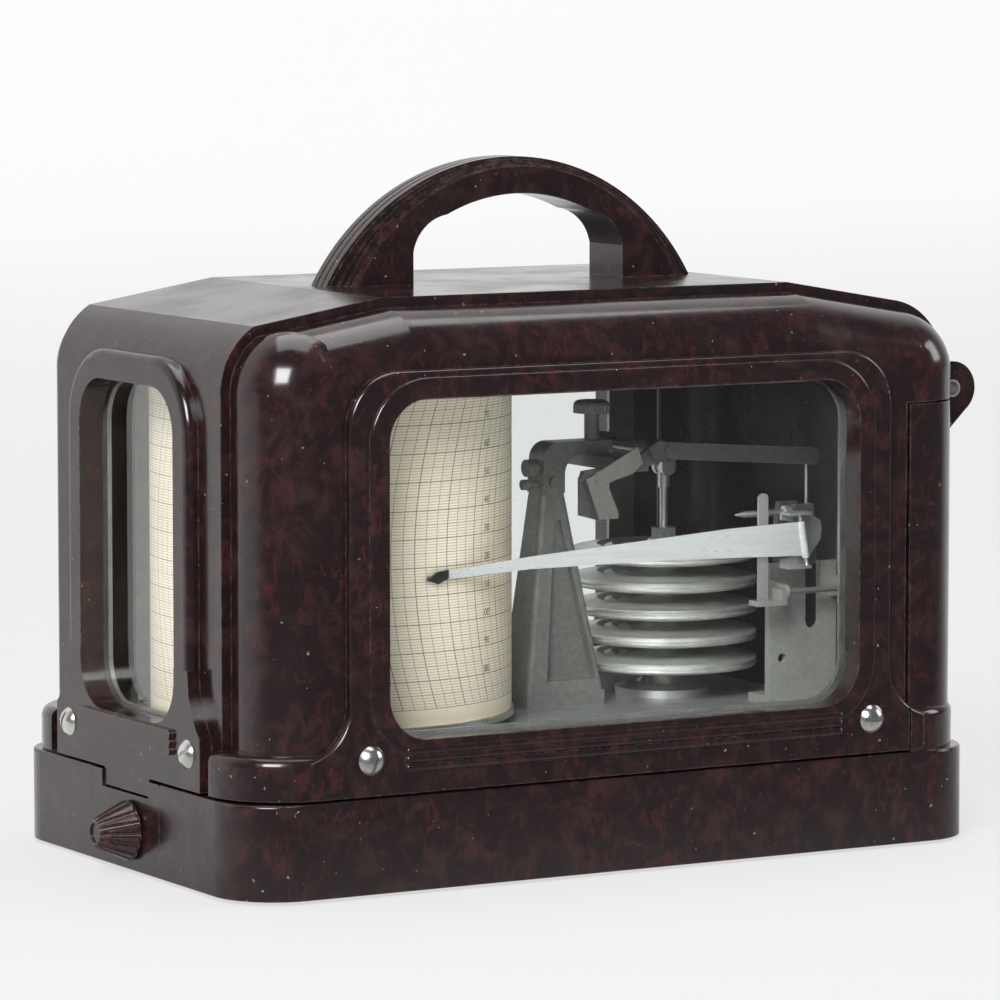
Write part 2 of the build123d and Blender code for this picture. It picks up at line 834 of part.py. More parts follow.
def latch_hook():
    """Hook behind the latch block, drawn clear of the lip; a quarter turn brings it over the lip."""
    x_low = hook_back() - hook_thick
    x_high = hook_back()
    reach = 2 * hook_outer
    half_span = math.radians(hook_span / 2)
    ring = Circle(hook_outer) - Circle(hook_inner)
    wedge = polygon([
        (0, 0),
        (reach * math.cos(half_span), reach * math.sin(half_span)),
        (reach * 1.2, 0),
        (reach * math.cos(half_span), -reach * math.sin(half_span)),
    ])
    sector = ring & wedge
    arm_angle = 7.0 - hook_span / 2
    arm = Rot(0, 0, arm_angle) * Pos(hook_outer / 2 - 0.5, 0) * Rectangle(hook_outer - 1.0, 2.8)
    hub = Circle(spindle_radius + 2.2)
    outline = sector + arm + hub - Circle(spindle_radius)
    return single(prism_x(Pos(knob_y, knob_z) * outline, x_low, x_high))


# Bed and column

def bed_plate():
    """Cast bed standing on the deck, open below."""
    centre = Pos((bed_left + bed_right) / 2, 0)
    plan = centre * RectangleRounded(bed_right - bed_left, 2 * bed_half, bed_corner)
    bed = prism_z(plan, base_top, bed_top)
    bed = fillet(bed.faces().sort_by(Axis.Z)[-1].edges(), 1.5)
    inner = centre * RectangleRounded(
        bed_right - bed_left - 2 * bed_thick, 2 * bed_half - 2 * bed_thick, bed_corner - bed_thick)
    bed -= prism_z(inner, base_top - 1, bed_top - bed_thick)
    for x, y in bed_screw_places():
        bed += rod_z(x, y, 4.0, base_top, bed_top - bed_thick + 0.5)
        bed -= rod_z(x, y, 1.5, base_top - 1, base_top + 7)
    bed -= rod_z(drum_x, 0, spindle_post, bed_top - bed_thick - 1, bed_top + 1)
    return single(bed)


def column_bracket():
    """Cast column leaning into an arch that carries the fulcrum."""
    foot = Pos((column_foot_left + column_foot_right) / 2, column_y) * Rectangle(
        column_foot_right - column_foot_left, column_foot_depth)
    neck = Pos((column_neck_left + column_neck_right) / 2, column_y) * Rectangle(
        column_neck_right - column_neck_left, column_head_depth)
    neck_z = 93.0
    trunk = loft([Plane.XY.offset(bed_top + 4) * foot, Plane.XY.offset(neck_z) * neck])
    trunk = fillet(trunk.edges().filter_by(lambda e: abs(e.center().Z - (bed_top + 4 + neck_z) / 2) < 1), 1.6)
    plinth = block(
        column_foot_left, column_foot_right, column_y - column_foot_depth / 2, column_y + column_foot_depth / 2,
        bed_top, bed_top + 4)
    window = polygon([
        (column_foot_left + 6.0, bed_top + 7),
        (column_foot_right - 2.4, bed_top + 7),
        (column_neck_right - 1.6, neck_z - 8),
        (column_neck_left + 3.4, neck_z - 8),
    ])
    front = column_y - column_foot_depth / 2
    recess = prism_y(window, front - 1, column_y - 3.2)
    recess_back = prism_y(window, column_y + 3.2, column_y + column_foot_depth / 2 + 1)
    head = [
        (column_neck_left, neck_z - 1),
        (column_neck_left + 0.6, column_top - 4.5),
    ]
    shoulder = (column_neck_left + 5.0, column_top)
    low_z = column_top - arch_thick
    edges = [
        Line(head[0], head[1]),
        ThreePointArc(head[1], (column_neck_left + 2.0, column_top - 1.3), shoulder),
        Line(shoulder, (arch_reach, column_top)),
        Line((arch_reach, column_top), (arch_reach, low_z)),
        Line((arch_reach, low_z), (column_neck_right + 5, low_z)),
        ThreePointArc(
            (column_neck_right + 5, low_z), (column_neck_right + 1.4, low_z - 1.6), (column_neck_right, low_z - 5)),
        Line((column_neck_right, low_z - 5), (column_neck_right, neck_z - 1)),
        Line((column_neck_right, neck_z - 1), head[0]),
    ]
    half = column_head_depth / 2
    arch = prism_y(make_face(Wire(edges)), column_y - half, column_y + half)
    solid = trunk + plinth - recess - recess_back + arch
    solid -= rod_z(thumb_x(), column_y, thumb_neck + shaft_clear, 90, 110)
    return single(solid)


def thumb_x():
    return 25.4


def zero_thumbscrew():
    """Knurled domed head on a long neck, threaded through the arch."""
    head_low = column_top + 7.1
    neck = rod_z(thumb_x(), column_y, thumb_neck, fulcrum_top() - 3.0, head_low + 1)
    collar = rod_z(thumb_x(), column_y, 2.0, column_top + 0.15, head_low)
    head = rod_z(thumb_x(), column_y, 4.9, head_low, head_low + 3.4)
    head = fillet(head.edges().group_by(Axis.Z)[-1], 1.6)
    for index in range(24):
        angle = math.radians(15 * index)
        head -= rod_z(
            thumb_x() + 5.1 * math.cos(angle), column_y + 5.1 * math.sin(angle), 0.45, head_low - 1, head_low + 2.0)
    return single(neck + collar + head)


def fulcrum_top():
    return column_top - arch_thick


def fulcrum_front():
    return lever_y + lever_thick / 2 + 1.2


def fulcrum_frame():
    """Forked bearing frame screwed under the arch; it carries the rocking shaft."""
    top = fulcrum_top()
    front = fulcrum_front()
    back = 6.0
    ear_thick = 2.2
    solid = block(20.5, 28.4, front, back, top - 3.2, top)
    front_ear = polygon([
        (9.0, 99.6), (8.2, 97.0), (15.0, 95.6), (22.0, 98.4), (shaft_x + 1.5, shaft_z - 2.6),
        (shaft_x + 2.6, shaft_z + 1.5), (shaft_x - 1.0, shaft_z + 2.8), (27.0, 103.6), (19.5, 100.6)])
    back_ear = polygon([
        (21.0, top - 3.2), (28.4, top - 3.2), (shaft_x + 1.5, shaft_z - 2.6), (shaft_x + 2.6, shaft_z + 1.5),
        (shaft_x - 1.0, shaft_z + 2.8), (29.5, top + 1.0), (28.6, top), (21.0, top)])
    solid += prism_y(front_ear, front, front + ear_thick)
    solid += prism_y(back_ear, back - ear_thick, back)
    hanger = polygon([(8.2, 98.0), (8.2, 88.0), (15.6, 86.0), (17.4, 89.6), (12.4, 98.0)])
    solid += prism_y(hanger, front + 1.0, front + ear_thick)
    solid -= rod_y(shaft_x, shaft_z, shaft_radius + shaft_clear, front - 1, back + 1)
    solid -= rod_z(thumb_x(), column_y, thumb_neck + shaft_clear, top - 10, top + 5)
    return single(solid)


def compensator_plates():
    """Two flat bimetal strips in a dog-leg on the front of the fulcrum frame, with their rivet."""
    front = fulcrum_front()
    upper = polygon([(11.4, 98.9), (14.1, 99.9), (24.9, 105.4), (26.4, 101.0), (23.5, 98.5), (14.8, 96.0), (12.0, 96.4)])
    lower = polygon([(8.9, 97.7), (12.3, 98.9), (15.0, 96.9), (18.7, 88.5), (18.7, 86.9), (12.9, 86.9)])
    strip_a = prism_y(upper, front - 0.5, front)
    strip_b = prism_y(lower, front - 1.0, front - 0.5)
    rivet = rod_y(12.6, 97.4, 1.2, front - 1.6, front - 1.0)
    return [strip_a, strip_b + rivet]


def column_screws():
    """Small clamp screws on the head of the column."""
    half = column_head_depth / 2
    left = column_neck_left
    screws = [
        rod_x(column_y - 1.4, 98.8, 2.3, left - 3.6, left - 0.6) + rod_x(column_y - 1.4, 98.8, 1.0, left - 0.7, left + 0.4),
        rod_x(column_y - 1.0, 94.4, 1.4, left - 4.4, left - 2.2) + rod_x(column_y - 1.0, 94.4, 0.9, left - 2.3, left),
    ]
    for x, z in ((11.4, 94.9),):
        screws.append(rod_y(x, z, 1.5, column_y - half - 1.2, column_y - half))
    frame_low = fulcrum_top() - 3.2
    screws.append(rod_z(23.6, column_y - 9.0, 1.8, frame_low - 1.6, frame_low))
    return screws


# Clock drum

def gear_outline(teeth, phase):
    """A plain spur gear outline with straight-sided teeth."""
    pitch_radius = module * teeth / 2
    outer = pitch_radius + 0.8 * module
    root = pitch_radius - 1.15 * module
    step = 2 * math.pi / teeth
    points = []
    for index in range(teeth):
        middle = phase + index * step
        for radius, share in ((root, -0.36), (outer, -0.13), (outer, 0.13), (root, 0.36)):
            angle = middle + share * step
            points.append((radius * math.cos(angle), radius * math.sin(angle)))
    return polygon(points)


def gear_distance():
    return module * (sun_teeth + pinion_teeth) / 2 + gear_gap


def pinion_centre():
    """The pinion rides in the drum, in mesh with the wheel that stands still."""
    return (drum_x, gear_distance())


def sun_wheel():
    """Fixed wheel under the drum, held by the foot of the spindle."""
    outline = gear_outline(sun_teeth, math.pi / 2) - Circle(spindle_post)
    for index in range(5):
        outline -= Rot(0, 0, 72 * index) * Pos(13.5, 0) * Circle(4.2)
    low = bed_top + 1.0
    wheel = prism_z(Pos(drum_x, 0) * outline, low, low + gear_thick)
    washer = Pos(drum_x, 0) * (Circle(7.0) - Circle(spindle_post))
    return single(wheel + prism_z(washer, bed_top, low + 0.2))


def drive_pinion():
    """Small pinion on its arbor, driven by the clock inside the drum."""
    x, y = pinion_centre()
    phase = -math.pi / 2 + math.pi / pinion_teeth
    low = bed_top + 0.8
    body = prism_z(Pos(x, y) * gear_outline(pinion_teeth, phase), low, low + gear_thick + 0.6)
    return single(body + rod_z(x, y, pinion_shaft, low, 66.0))


def drum_spindle():
    return rod_z(drum_x, 0, spindle_post, bed_top - bed_thick, drum_top + 1.0)


def drum_body():
    """Thin cylinder with a foot flange and a floor that runs on the spindle."""
    profile = polygon([
        (drum_radius - drum_wall, drum_bottom),
        (drum_radius + drum_flange, drum_bottom),
        (drum_radius + drum_flange, chart_low - 0.1),
        (drum_radius, chart_low - 0.1),
        (drum_radius, drum_top - 1.2),
        (drum_radius - drum_wall, drum_top - 1.2),
        (drum_radius - drum_wall, drum_floor + 1.5),
        (spindle_post + 6, drum_floor + 1.5),
        (spindle_post + 3, drum_floor + 6.0),
        (spindle_post + spindle_clear, drum_floor + 6.0),
        (spindle_post + spindle_clear, drum_floor),
        (drum_radius - drum_wall, drum_floor),
    ])
    solid = Pos(drum_x, 0, 0) * revolve(Plane.XZ * profile, axis=Axis.Z)
    x, y = pinion_centre()
    solid -= rod_z(x, y, pinion_shaft + 0.06, drum_floor - 1, drum_floor + 3)
    return single(solid)


def drum_lid():
    """Pressed lid with a raised rim and a boss on the spindle."""
    profile = polygon([
        (spindle_post + spindle_clear, drum_top - 5.0),
        (spindle_post + 4, drum_top - 5.0),
        (spindle_post + 4, drum_top - 1.2),
        (drum_radius, drum_top - 1.2),
        (drum_radius, drum_top + 0.6),
        (drum_radius - 2, drum_top + 0.6),
        (drum_radius - 3.5, drum_top),
        (14.0, drum_top),
        (12.0, drum_top + 0.8),
        (spindle_post + spindle_clear, drum_top + 0.8),
    ])
    solid = Pos(drum_x, 0, 0) * revolve(Plane.XZ * profile, axis=Axis.Z)
    return single(solid)


def drum_nut():
    """Knurled cap nut on top of the drum."""
    low = drum_top + 0.8
    solid = rod_z(drum_x, 0, 7.0, low, low + 4.4)
    solid = fillet(solid.edges().group_by(Axis.Z)[-1], 1.2)
    for index in range(20):
        angle = math.radians(18 * index)
        solid -= rod_z(drum_x + 7.2 * math.cos(angle), 7.2 * math.sin(angle), 0.55, low - 1, low + 2.8)
    solid -= rod_z(drum_x, 0, spindle_post + spindle_clear, low - 1, low + 1.2)
    return single(solid)


def chart_paper():
    ring = Circle(drum_radius + chart_thick) - Circle(drum_radius)
    return prism_z(Pos(drum_x, 0) * ring, chart_low, chart_low + chart_height)


def chart_clip():
    """Springy strip that clasps the ends of the paper on the far side."""
    inner = drum_radius + chart_thick
    sector = polygon([(0, 0), (60, 3.4), (60, -3.4)])
    ring = (Circle(inner + 0.5) - Circle(inner)) & sector
    turned = Pos(drum_x, 0) * Rot(0, 0, 62) * ring
    strip = prism_z(turned, chart_low, drum_top - 1.2)
    hook = Pos(drum_x, 0) * Rot(0, 0, 62) * ((Circle(inner + 0.5) - Circle(inner - 3)) & sector)
    return single(strip + prism_z(hook, drum_top + 0.6, drum_top + 1.1)
                  + prism_z(turned, drum_top - 1.3, drum_top + 1.1))


def clock_parts():
    """The movement inside the drum: plates and pillars, barrel, wheels and arbor."""
    plate_low = drum_floor + 8.0
    plate_high = plate_low + 18.0
    plate_radius = 36.0
    pillar_spots = [(27.0, angle) for angle in (45, 135, 225, 315)]
    bore = Pos(drum_x, 0) * Circle(spindle_post + 3.4)
    plan = Pos(drum_x, 0) * Circle(plate_radius) - bore
    x, y = pinion_centre()
    plan -= Pos(x, y) * Circle(pinion_shaft + 0.06)
    barrel_x = drum_x - 20.0
    plates = prism_z(plan, plate_low, plate_low + 1.5)
    plates += prism_z(plan - Pos(barrel_x, 0) * Circle(arbor_radius + shaft_clear), plate_high, plate_high + 1.5)
    for radius, angle in pillar_spots:
        px = drum_x + radius * math.cos(math.radians(angle))
        py = radius * math.sin(math.radians(angle))
        plates += rod_z(px, py, 2.2, plate_low, plate_high + 1.5)
        plates += rod_z(px, py, 2.2, drum_floor + 1.5, plate_low)
    barrel = rod_z(barrel_x, 0, 11.5, plate_low + 1.5, plate_high - 1.0)
    barrel += prism_z(Pos(barrel_x, 0) * Circle(12.6), plate_low + 2.2, plate_low + 4.0)
    arbor = rod_z(barrel_x, 0, arbor_radius, plate_high - 1.0, plate_high + 14.0)
    arbor_head = block(barrel_x - 2.6, barrel_x + 2.6, -0.9, 0.9, plate_high + 10, plate_high + 19)
    wheels = []
    for wx, wy, radius, level in ((18.0, -6.0, 9.0, 6.0), (10.0, 13.5, 7.0, 9.5), (26.0, 8.0, 5.5, 12.5)):
        disc = Pos(drum_x + wx, wy) * (Circle(radius) - Circle(0.9))
        for index in range(3):
            disc -= Pos(drum_x + wx, wy) * Rot(0, 0, 120 * index) * Pos(radius * 0.56, 0) * Circle(radius * 0.26)
        wheel = prism_z(disc, plate_low + level, plate_low + level + 1.0)
        wheels.append(wheel + rod_z(drum_x + wx, wy, 0.9, plate_low + 1.5, plate_high))
    return plates, single(barrel), single(arbor + arbor_head), wheels


# Capsule stack

def capsule():
    """One corrugated vacuum capsule: two soldered dished halves with a grooved rim."""
    outline = [
        (0.0, capsule_pitch / 2),
        (hub_radius, capsule_pitch / 2),
        (hub_radius + 0.6, capsule_pitch / 2 - 0.9),
        (8.0, 1.7),
        (10.0, 2.3),
        (12.0, 1.7),
        (14.0, 2.3),
        (16.0, 1.7),
        (18.0, 2.3),
        (20.5, 1.5),
        (capsule_radius - 2.0, capsule_rim),
        (capsule_radius - 0.4, capsule_rim),
        (capsule_radius, capsule_rim - 0.5),
        (capsule_radius, 0.25),
        (capsule_radius - 0.5, 0.0),
    ]
    lower = [(x, -z) for x, z in reversed(outline[:-1])]
    return revolve(Plane.XZ * polygon(outline + lower), axis=Axis.Z)


def vacuum_capsules():
    return [Pos(stack_x, stack_y, first_rim_z + capsule_pitch * index) * capsule() for index in range(capsule_count)]


def stack_top():
    return first_rim_z + capsule_pitch * (capsule_count - 1) + capsule_pitch / 2


def capsule_foot():
    """Turned foot under the lowest capsule."""
    top = first_rim_z - capsule_pitch / 2
    profile = polygon([(0, bed_top), (13.0, bed_top), (13.0, bed_top + 2.0), (7.0, bed_top + 3.2), (5.0, top), (0, top)])
    return single(Pos(stack_x, stack_y, 0) * revolve(Plane.XZ * profile, axis=Axis.Z))


def stack_nut():
    """Hexagon nut on the top capsule, bored for the pull rod."""
    low = stack_top()
    hexagon = Pos(stack_x, stack_y) * RegularPolygon(3.6, 6)
    solid = prism_z(hexagon, low, low + 3.0)
    solid = solid - rod_z(stack_x, stack_y, rod_radius + 0.06, low + 0.2, low + 4)
    return single(solid)


def pull_rod():
    """Rod from the capsules to the short arm, with a sleeve and a forked head."""
    low = stack_top() + 1.4
    solid = rod_z(stack_x, stack_y, rod_radius, low, rod_eye_z - 1.0)
    solid += rod_z(stack_x, stack_y, rod_sleeve, rod_eye_z - 8.0, rod_eye_z - 2.6)
    solid += block(stack_x - 1.6, stack_x + 1.6, stack_y - 2.6, stack_y + 2.6, rod_eye_z - 3.4, rod_eye_z - 1.9)
    for side in (-1, 1):
        low_y, high_y = sorted((stack_y + side * 1.4, stack_y + side * 2.6))
        cheek = prism_y(bar_outline((stack_x, rod_eye_z - 2.5), (stack_x, rod_eye_z), 4.4), low_y, high_y)
        solid += cheek
    solid -= block(stack_x - 3, stack_x + 3, stack_y - 1.4, stack_y + 1.4, rod_eye_z - 1.9, rod_eye_z + 3)
    eye = Pos(stack_x, rod_eye_z) * SlotOverall(2 * rod_pin + 1.2, 2 * rod_pin + 0.3)
    solid -= prism_y(eye, stack_y - 4, stack_y + 4)
    return single(solid)


def rocking_shaft():
    """Shaft with the short arm over the capsules and the long arm out to the link."""
    front = lever_y - lever_thick / 2
    solid = rod_y(shaft_x, shaft_z, shaft_radius, front - 1.0, 6.6)
    long_arm = bar_outline((shaft_x - 3.0, shaft_z + 0.2), (link_x, link_top_z), lever_height)
    solid += prism_y(long_arm, front, front + lever_thick)
    short_arm = bar_outline((shaft_x, shaft_z), (stack_x, rod_eye_z), 3.4)
    solid += prism_y(short_arm, stack_y - 1.1, stack_y + 1.1)
    solid += rod_y(shaft_x, shaft_z, 2.6, stack_y - 1.8, stack_y + 1.8)
    solid += rod_y(stack_x, rod_eye_z, rod_pin, stack_y - 2.7, stack_y + 2.7)
    solid += rod_y(link_x, link_top_z, link_pin, front, crank_y + 1.3)
    return single(solid)


def link_wire():
    """Thin link hanging from the long arm, with a slotted lower eye round the crank pin."""
    middle = crank_y
    upper = Pos(link_x, link_top_z) * (SlotOverall(3.6, 2.8) - SlotOverall(2.2, 2 * link_pin + 0.3))
    lower = Pos(link_x - 0.3, crank_end_z) * (SlotOverall(4.8, 2.8) - SlotOverall(3.4, 2 * crank_pin + 0.5))
    solid = prism_y(upper, middle - 0.4, middle + 0.4)
    solid += prism_y(lower, middle - 0.4, middle + 0.4)
    solid += rod_z(link_x, middle, link_radius, crank_end_z + 1.2, link_top_z - 1.3)
    return single(solid)


# Pen movement

def pen_bracket():
    """Upright plate with a slot and a small hole, on a foot screwed to the bed."""
    outline = polygon([
        (bracket_left, bed_top), (bracket_right, bed_top), (bracket_right, bracket_top), (bracket_left, bracket_top)])
    slot = Pos(slot_x, (slot_low + bracket_top + 10) / 2) * Rot(0, 0, 90) * SlotOverall(
        bracket_top + 10 - slot_low, 2 * slot_half)
    outline = outline - slot - Pos(66.5, 47.6) * Circle(1.3)
    back = bracket_y + bracket_thick / 2
    front = bracket_y - bracket_thick / 2
    plate = prism_y(outline, front, back)
    foot = block(bracket_left, bracket_right, front, back + 8.0, bed_top, bed_top + 2.2)
    solid = plate + foot
    for x_low in (bracket_left - 0.3, bracket_right - 2.0):
        ear = Pos(bail_pivot_y, bail_pivot_z) * Circle(2.0) + polygon([
            (bail_pivot_y, bail_pivot_z + 2.0), (front + 0.5, bail_pivot_z + 3.0),
            (front + 0.5, bail_pivot_z - 3.0), (bail_pivot_y, bail_pivot_z - 2.0)])
        solid += prism_x(ear, x_low, x_low + 1.6)
    solid -= rod_x(bail_pivot_y, bail_pivot_z, bail_rod + 0.05, bracket_left - 2, bracket_right + 2)
    return single(solid)


def axle_cradle():
    """Dark U-shaped cradle that carries the two bearings of the pen axle."""
    low = bracket_top
    ear_low_y = -40.4
    ear_high_y = -30.8
    web = block(axle_x - 4.5, axle_x + 3.0, ear_low_y, ear_high_y, low, low + 2.4)
    solid = web
    for y_low in (ear_low_y, ear_high_y - 1.8):
        ear = polygon([
            (axle_x - 4.5, low), (axle_x + 3.0, low), (axle_x + 3.2, axle_z), (axle_x + 2.0, axle_z + 6.5),
            (axle_x - 3.6, axle_z + 6.5), (axle_x - 4.5, axle_z)])
        solid += prism_y(ear, y_low, y_low + 1.8)
    solid -= rod_y(axle_x, axle_z, axle_radius + shaft_clear, ear_low_y - 1, ear_high_y + 1)
    stop = rod_x(-38.6, 87.0, 0.9, axle_x - 18.0, axle_x - 3.0)
    tip = Pos(axle_x - 19.6, -38.6, 87.0) * Rot(0, 90, 0) * Cone(0.25, 0.9, 3.2)
    collar = rod_x(-38.6, 87.0, 1.7, axle_x - 6.2, axle_x - 4.4)
    stop_solid = single(stop + tip + collar)
    solid -= rod_x(-38.6, 87.0, 0.9, axle_x - 8.0, axle_x - 3.0)
    return single(solid), stop_solid


def gate_point(share, drop=0.0):
    """A point on the gate pin, from its lower end (0) to its upper end (1)."""
    x = gate_low[0] + (gate_high[0] - gate_low[0]) * share
    z = gate_low[1] + (gate_high[1] - gate_low[1]) * share
    return (x, z - drop)


def along_gate(radius, start, end):
    """A cylinder along the gate axis between two shares of its length."""
    x0, z0 = gate_point(start)
    x1, z1 = gate_point(end)
    length = math.hypot(x1 - x0, z1 - z0)
    tilt = math.degrees(math.atan2(x1 - x0, z1 - z0))
    centre = Pos((x0 + x1) / 2, arm_y, (z0 + z1) / 2)
    return centre * Rot(0, tilt, 0) * Cylinder(radius, length)


def pen_axle():
    """Axle with the crank at the back and the forked gate yoke in front."""
    yoke_y = arm_y + 2.6
    solid = rod_y(axle_x, axle_z, axle_radius, yoke_y, crank_y - 0.6)
    crank = bar_outline((axle_x, axle_z), (link_x, crank_end_z), 3.0)
    solid += prism_y(crank, crank_y - 1.9, crank_y - 0.8)
    solid += rod_y(link_x, crank_end_z, crank_pin, crank_y - 1.9, crank_y + 1.2)
    solid += rod_y(axle_x, axle_z, 2.3, yoke_y, yoke_y + 1.4)
    low_z = gate_low[1] - 0.6
    high_z = gate_high[1] + 0.2
    web = polygon([
        (60.2, low_z), (67.2, low_z), (axle_x + 2.0, axle_z - 2.4), (axle_x + 2.0, axle_z + 2.4),
        (67.2, high_z + 0.6), (60.2, high_z + 0.6), (60.2, high_z - 1.6), (64.0, high_z - 2.2),
        (64.6, low_z + 2.4), (60.2, low_z + 2.0)])
    solid += prism_y(web, yoke_y, yoke_y + 0.8)
    solid += block(60.2, 67.2, arm_y - 1.3, yoke_y + 0.8, low_z - 0.4, low_z + 0.4)
    solid += block(60.2, 67.2, arm_y - 1.3, yoke_y + 0.8, high_z - 0.2, high_z + 0.6)
    return single(solid - along_gate(gate_radius, -0.5, 1.5))


def gate_pin():
    return along_gate(gate_radius, -0.05, 1.05)


def pen_arm():
    """Long tapered strip with a folded sleeve round the gate pin."""
    x_right, _ = gate_point(0.5)
    outline = polygon([
        (x_right, arm_low_z - 0.2),
        (x_right - 0.6, arm_high_z),
        (42.0, arm_high_z - 0.7),
        (-17.4, arm_low_z + 4.2),
        (arm_tip_x + 3.4, arm_tip_z + 1.3),
        (arm_tip_x + 2.2, arm_tip_z - 0.6),
        (-17.4, arm_low_z + 1.0),
        (27.0, arm_low_z + 0.9),
    ])
    strip = prism_y(outline, arm_y - arm_thick / 2, arm_y + arm_thick / 2)
    sleeve = along_gate(sleeve_radius, 0.14, 0.86)
    bore = along_gate(gate_radius + 0.06, -0.5, 1.5)
    return single(strip + sleeve - bore)


def pen_nib():
    """Small barrel nib clipped on the tip of the arm."""
    contact = -(drum_radius + chart_thick + nib_clear)
    front = arm_y + arm_thick / 2
    outline = polygon([
        (arm_tip_x - 0.3, arm_tip_z - 0.4),
        (arm_tip_x + 3.2, arm_tip_z - 1.6),
        (arm_tip_x + 6.2, arm_tip_z - 0.2),
        (arm_tip_x + 6.2, arm_tip_z + 2.0),
        (arm_tip_x + 3.0, arm_tip_z + 1.6),
    ])
    cup = prism_y(outline, arm_y - arm_thick / 2 - 0.6, arm_y - arm_thick / 2)
    point = prism_y(Pos(arm_tip_x + 0.9, arm_tip_z) * Circle(0.45), arm_y - arm_thick / 2 - 0.3, contact)
    return single(cup + point)


def lifter_bail():
    """Bail behind the arm that pushes it off the chart."""
    y_low = bail_y - bail_thick / 2
    y_high = bail_y + bail_thick / 2
    flat = block(bail_left, bail_left + bail_width, y_low, y_high, bail_pivot_z - 3.0, bail_top)
    flat = fillet(flat.edges().filter_by(Axis.Y).group_by(Axis.Z)[-1], 1.2)
    foot = block(bail_left, bracket_left - 0.9, y_low, bail_pivot_y + 0.6, bail_pivot_z - 3.0, bail_pivot_z - 1.6)
    riser = block(bracket_left - 2.6, bracket_left - 0.9, y_low, bail_pivot_y + 0.6,
                  bail_pivot_z - 3.0, bail_pivot_z + 1.2)
    rod = rod_x(bail_pivot_y, bail_pivot_z, bail_rod, bracket_left - 2.0, bracket_right + 1.4)
    tail_low = bracket_right + 0.2
    tail = block(tail_low, tail_low + 0.8, bail_pivot_y - 1.6, bail_pivot_y + 1.6, bail_pivot_z - 2.0, 85.0)
    return single(flat + foot + riser + rod + tail)


write("base_tray", base_tray())
write("base_feet", *feet())
write("latch_block", latch_block())
write("end_standard", end_standard())
write("standard_screws", *under_screws(standard_screw_places(), base_top - base_deck, base_deck + 3.6))
write("hinge_tubes", *hinge_tubes())
write("bed_plate", bed_plate())
write("bed_screws", *under_screws(bed_screw_places(), base_top - base_deck, base_deck + 6.0))
write("cover_shell", cover_shell())
write("carry_handle", carry_handle())
write("handle_screws", *handle_screws())
front_pane, front_retainer = front_window_parts()
write("front_glass", front_pane)
write("front_retainer", front_retainer)
write("rear_glass", mirror(front_pane, about=Plane.XZ))
write("rear_retainer", mirror(front_retainer, about=Plane.XZ))
end_pane, end_retainer = end_window_parts()
write("end_glass", end_pane)
write("end_retainer", end_retainer)
write("window_screws", *window_screws())
write("latch_knob", latch_knob())
write("latch_spindle", latch_spindle())
write("latch_hook", latch_hook())
write("column_bracket", column_bracket())
write("column_screws", *column_screws())
write("zero_thumbscrew", zero_thumbscrew())
write("fulcrum_frame", fulcrum_frame())
write("compensator_plates", *compensator_plates())
write("sun_wheel", sun_wheel())
write("drive_pinion", drive_pinion())
write("drum_spindle", drum_spindle())
write("drum_body", drum_body())
write("drum_lid", drum_lid())
write("drum_nut", drum_nut())
write("chart_paper", chart_paper())
write("chart_clip", chart_clip())
clock_plates, clock_barrel, clock_arbor, clock_wheels = clock_parts()
write("clock_plates", clock_plates)
write("mainspring_barrel", clock_barrel)
write("winding_key", clock_arbor)
write("clock_wheels", *clock_wheels)
write("vacuum_capsules", *vacuum_capsules())
write("capsule_foot", capsule_foot())
write("stack_nut", stack_nut())
write("pull_rod", pull_rod())
write("rocking_shaft", rocking_shaft())
write("link_wire", link_wire())
write("pen_bracket", pen_bracket())
cradle, stop_screw = axle_cradle()
write("axle_cradle", cradle)
write("stop_screw", stop_screw)
write("pen_axle", pen_axle())
write("gate_pin", gate_pin())
write("pen_arm", pen_arm())
write("pen_nib", pen_nib())
write("lifter_bail", lifter_bail())
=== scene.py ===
"""Looks of a table barograph: dark mottled moulded case, glazed cover, grey castings, bright levers.

Everything is in metres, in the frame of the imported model: X along the long front towards the hinge,
Y towards the back, Z up, with the table at Z = 0.
"""

import math

import bpy
from mathutils import Euler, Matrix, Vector

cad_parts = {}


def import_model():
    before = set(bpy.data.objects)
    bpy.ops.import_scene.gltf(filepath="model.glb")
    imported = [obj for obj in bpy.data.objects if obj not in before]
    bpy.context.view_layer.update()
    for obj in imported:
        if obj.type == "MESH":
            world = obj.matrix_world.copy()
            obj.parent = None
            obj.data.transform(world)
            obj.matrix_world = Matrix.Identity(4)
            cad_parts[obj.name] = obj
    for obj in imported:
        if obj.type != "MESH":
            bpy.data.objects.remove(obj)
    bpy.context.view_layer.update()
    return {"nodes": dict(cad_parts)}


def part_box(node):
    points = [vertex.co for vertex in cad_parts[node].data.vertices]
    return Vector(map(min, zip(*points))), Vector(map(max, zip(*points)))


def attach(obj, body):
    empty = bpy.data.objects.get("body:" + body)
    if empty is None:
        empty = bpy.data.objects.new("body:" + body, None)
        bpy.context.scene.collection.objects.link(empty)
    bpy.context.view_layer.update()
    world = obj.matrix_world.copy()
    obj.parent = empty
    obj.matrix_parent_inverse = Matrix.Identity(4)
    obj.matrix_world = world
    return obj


MM = 0.001

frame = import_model()
nodes = frame["nodes"]


# Node helpers

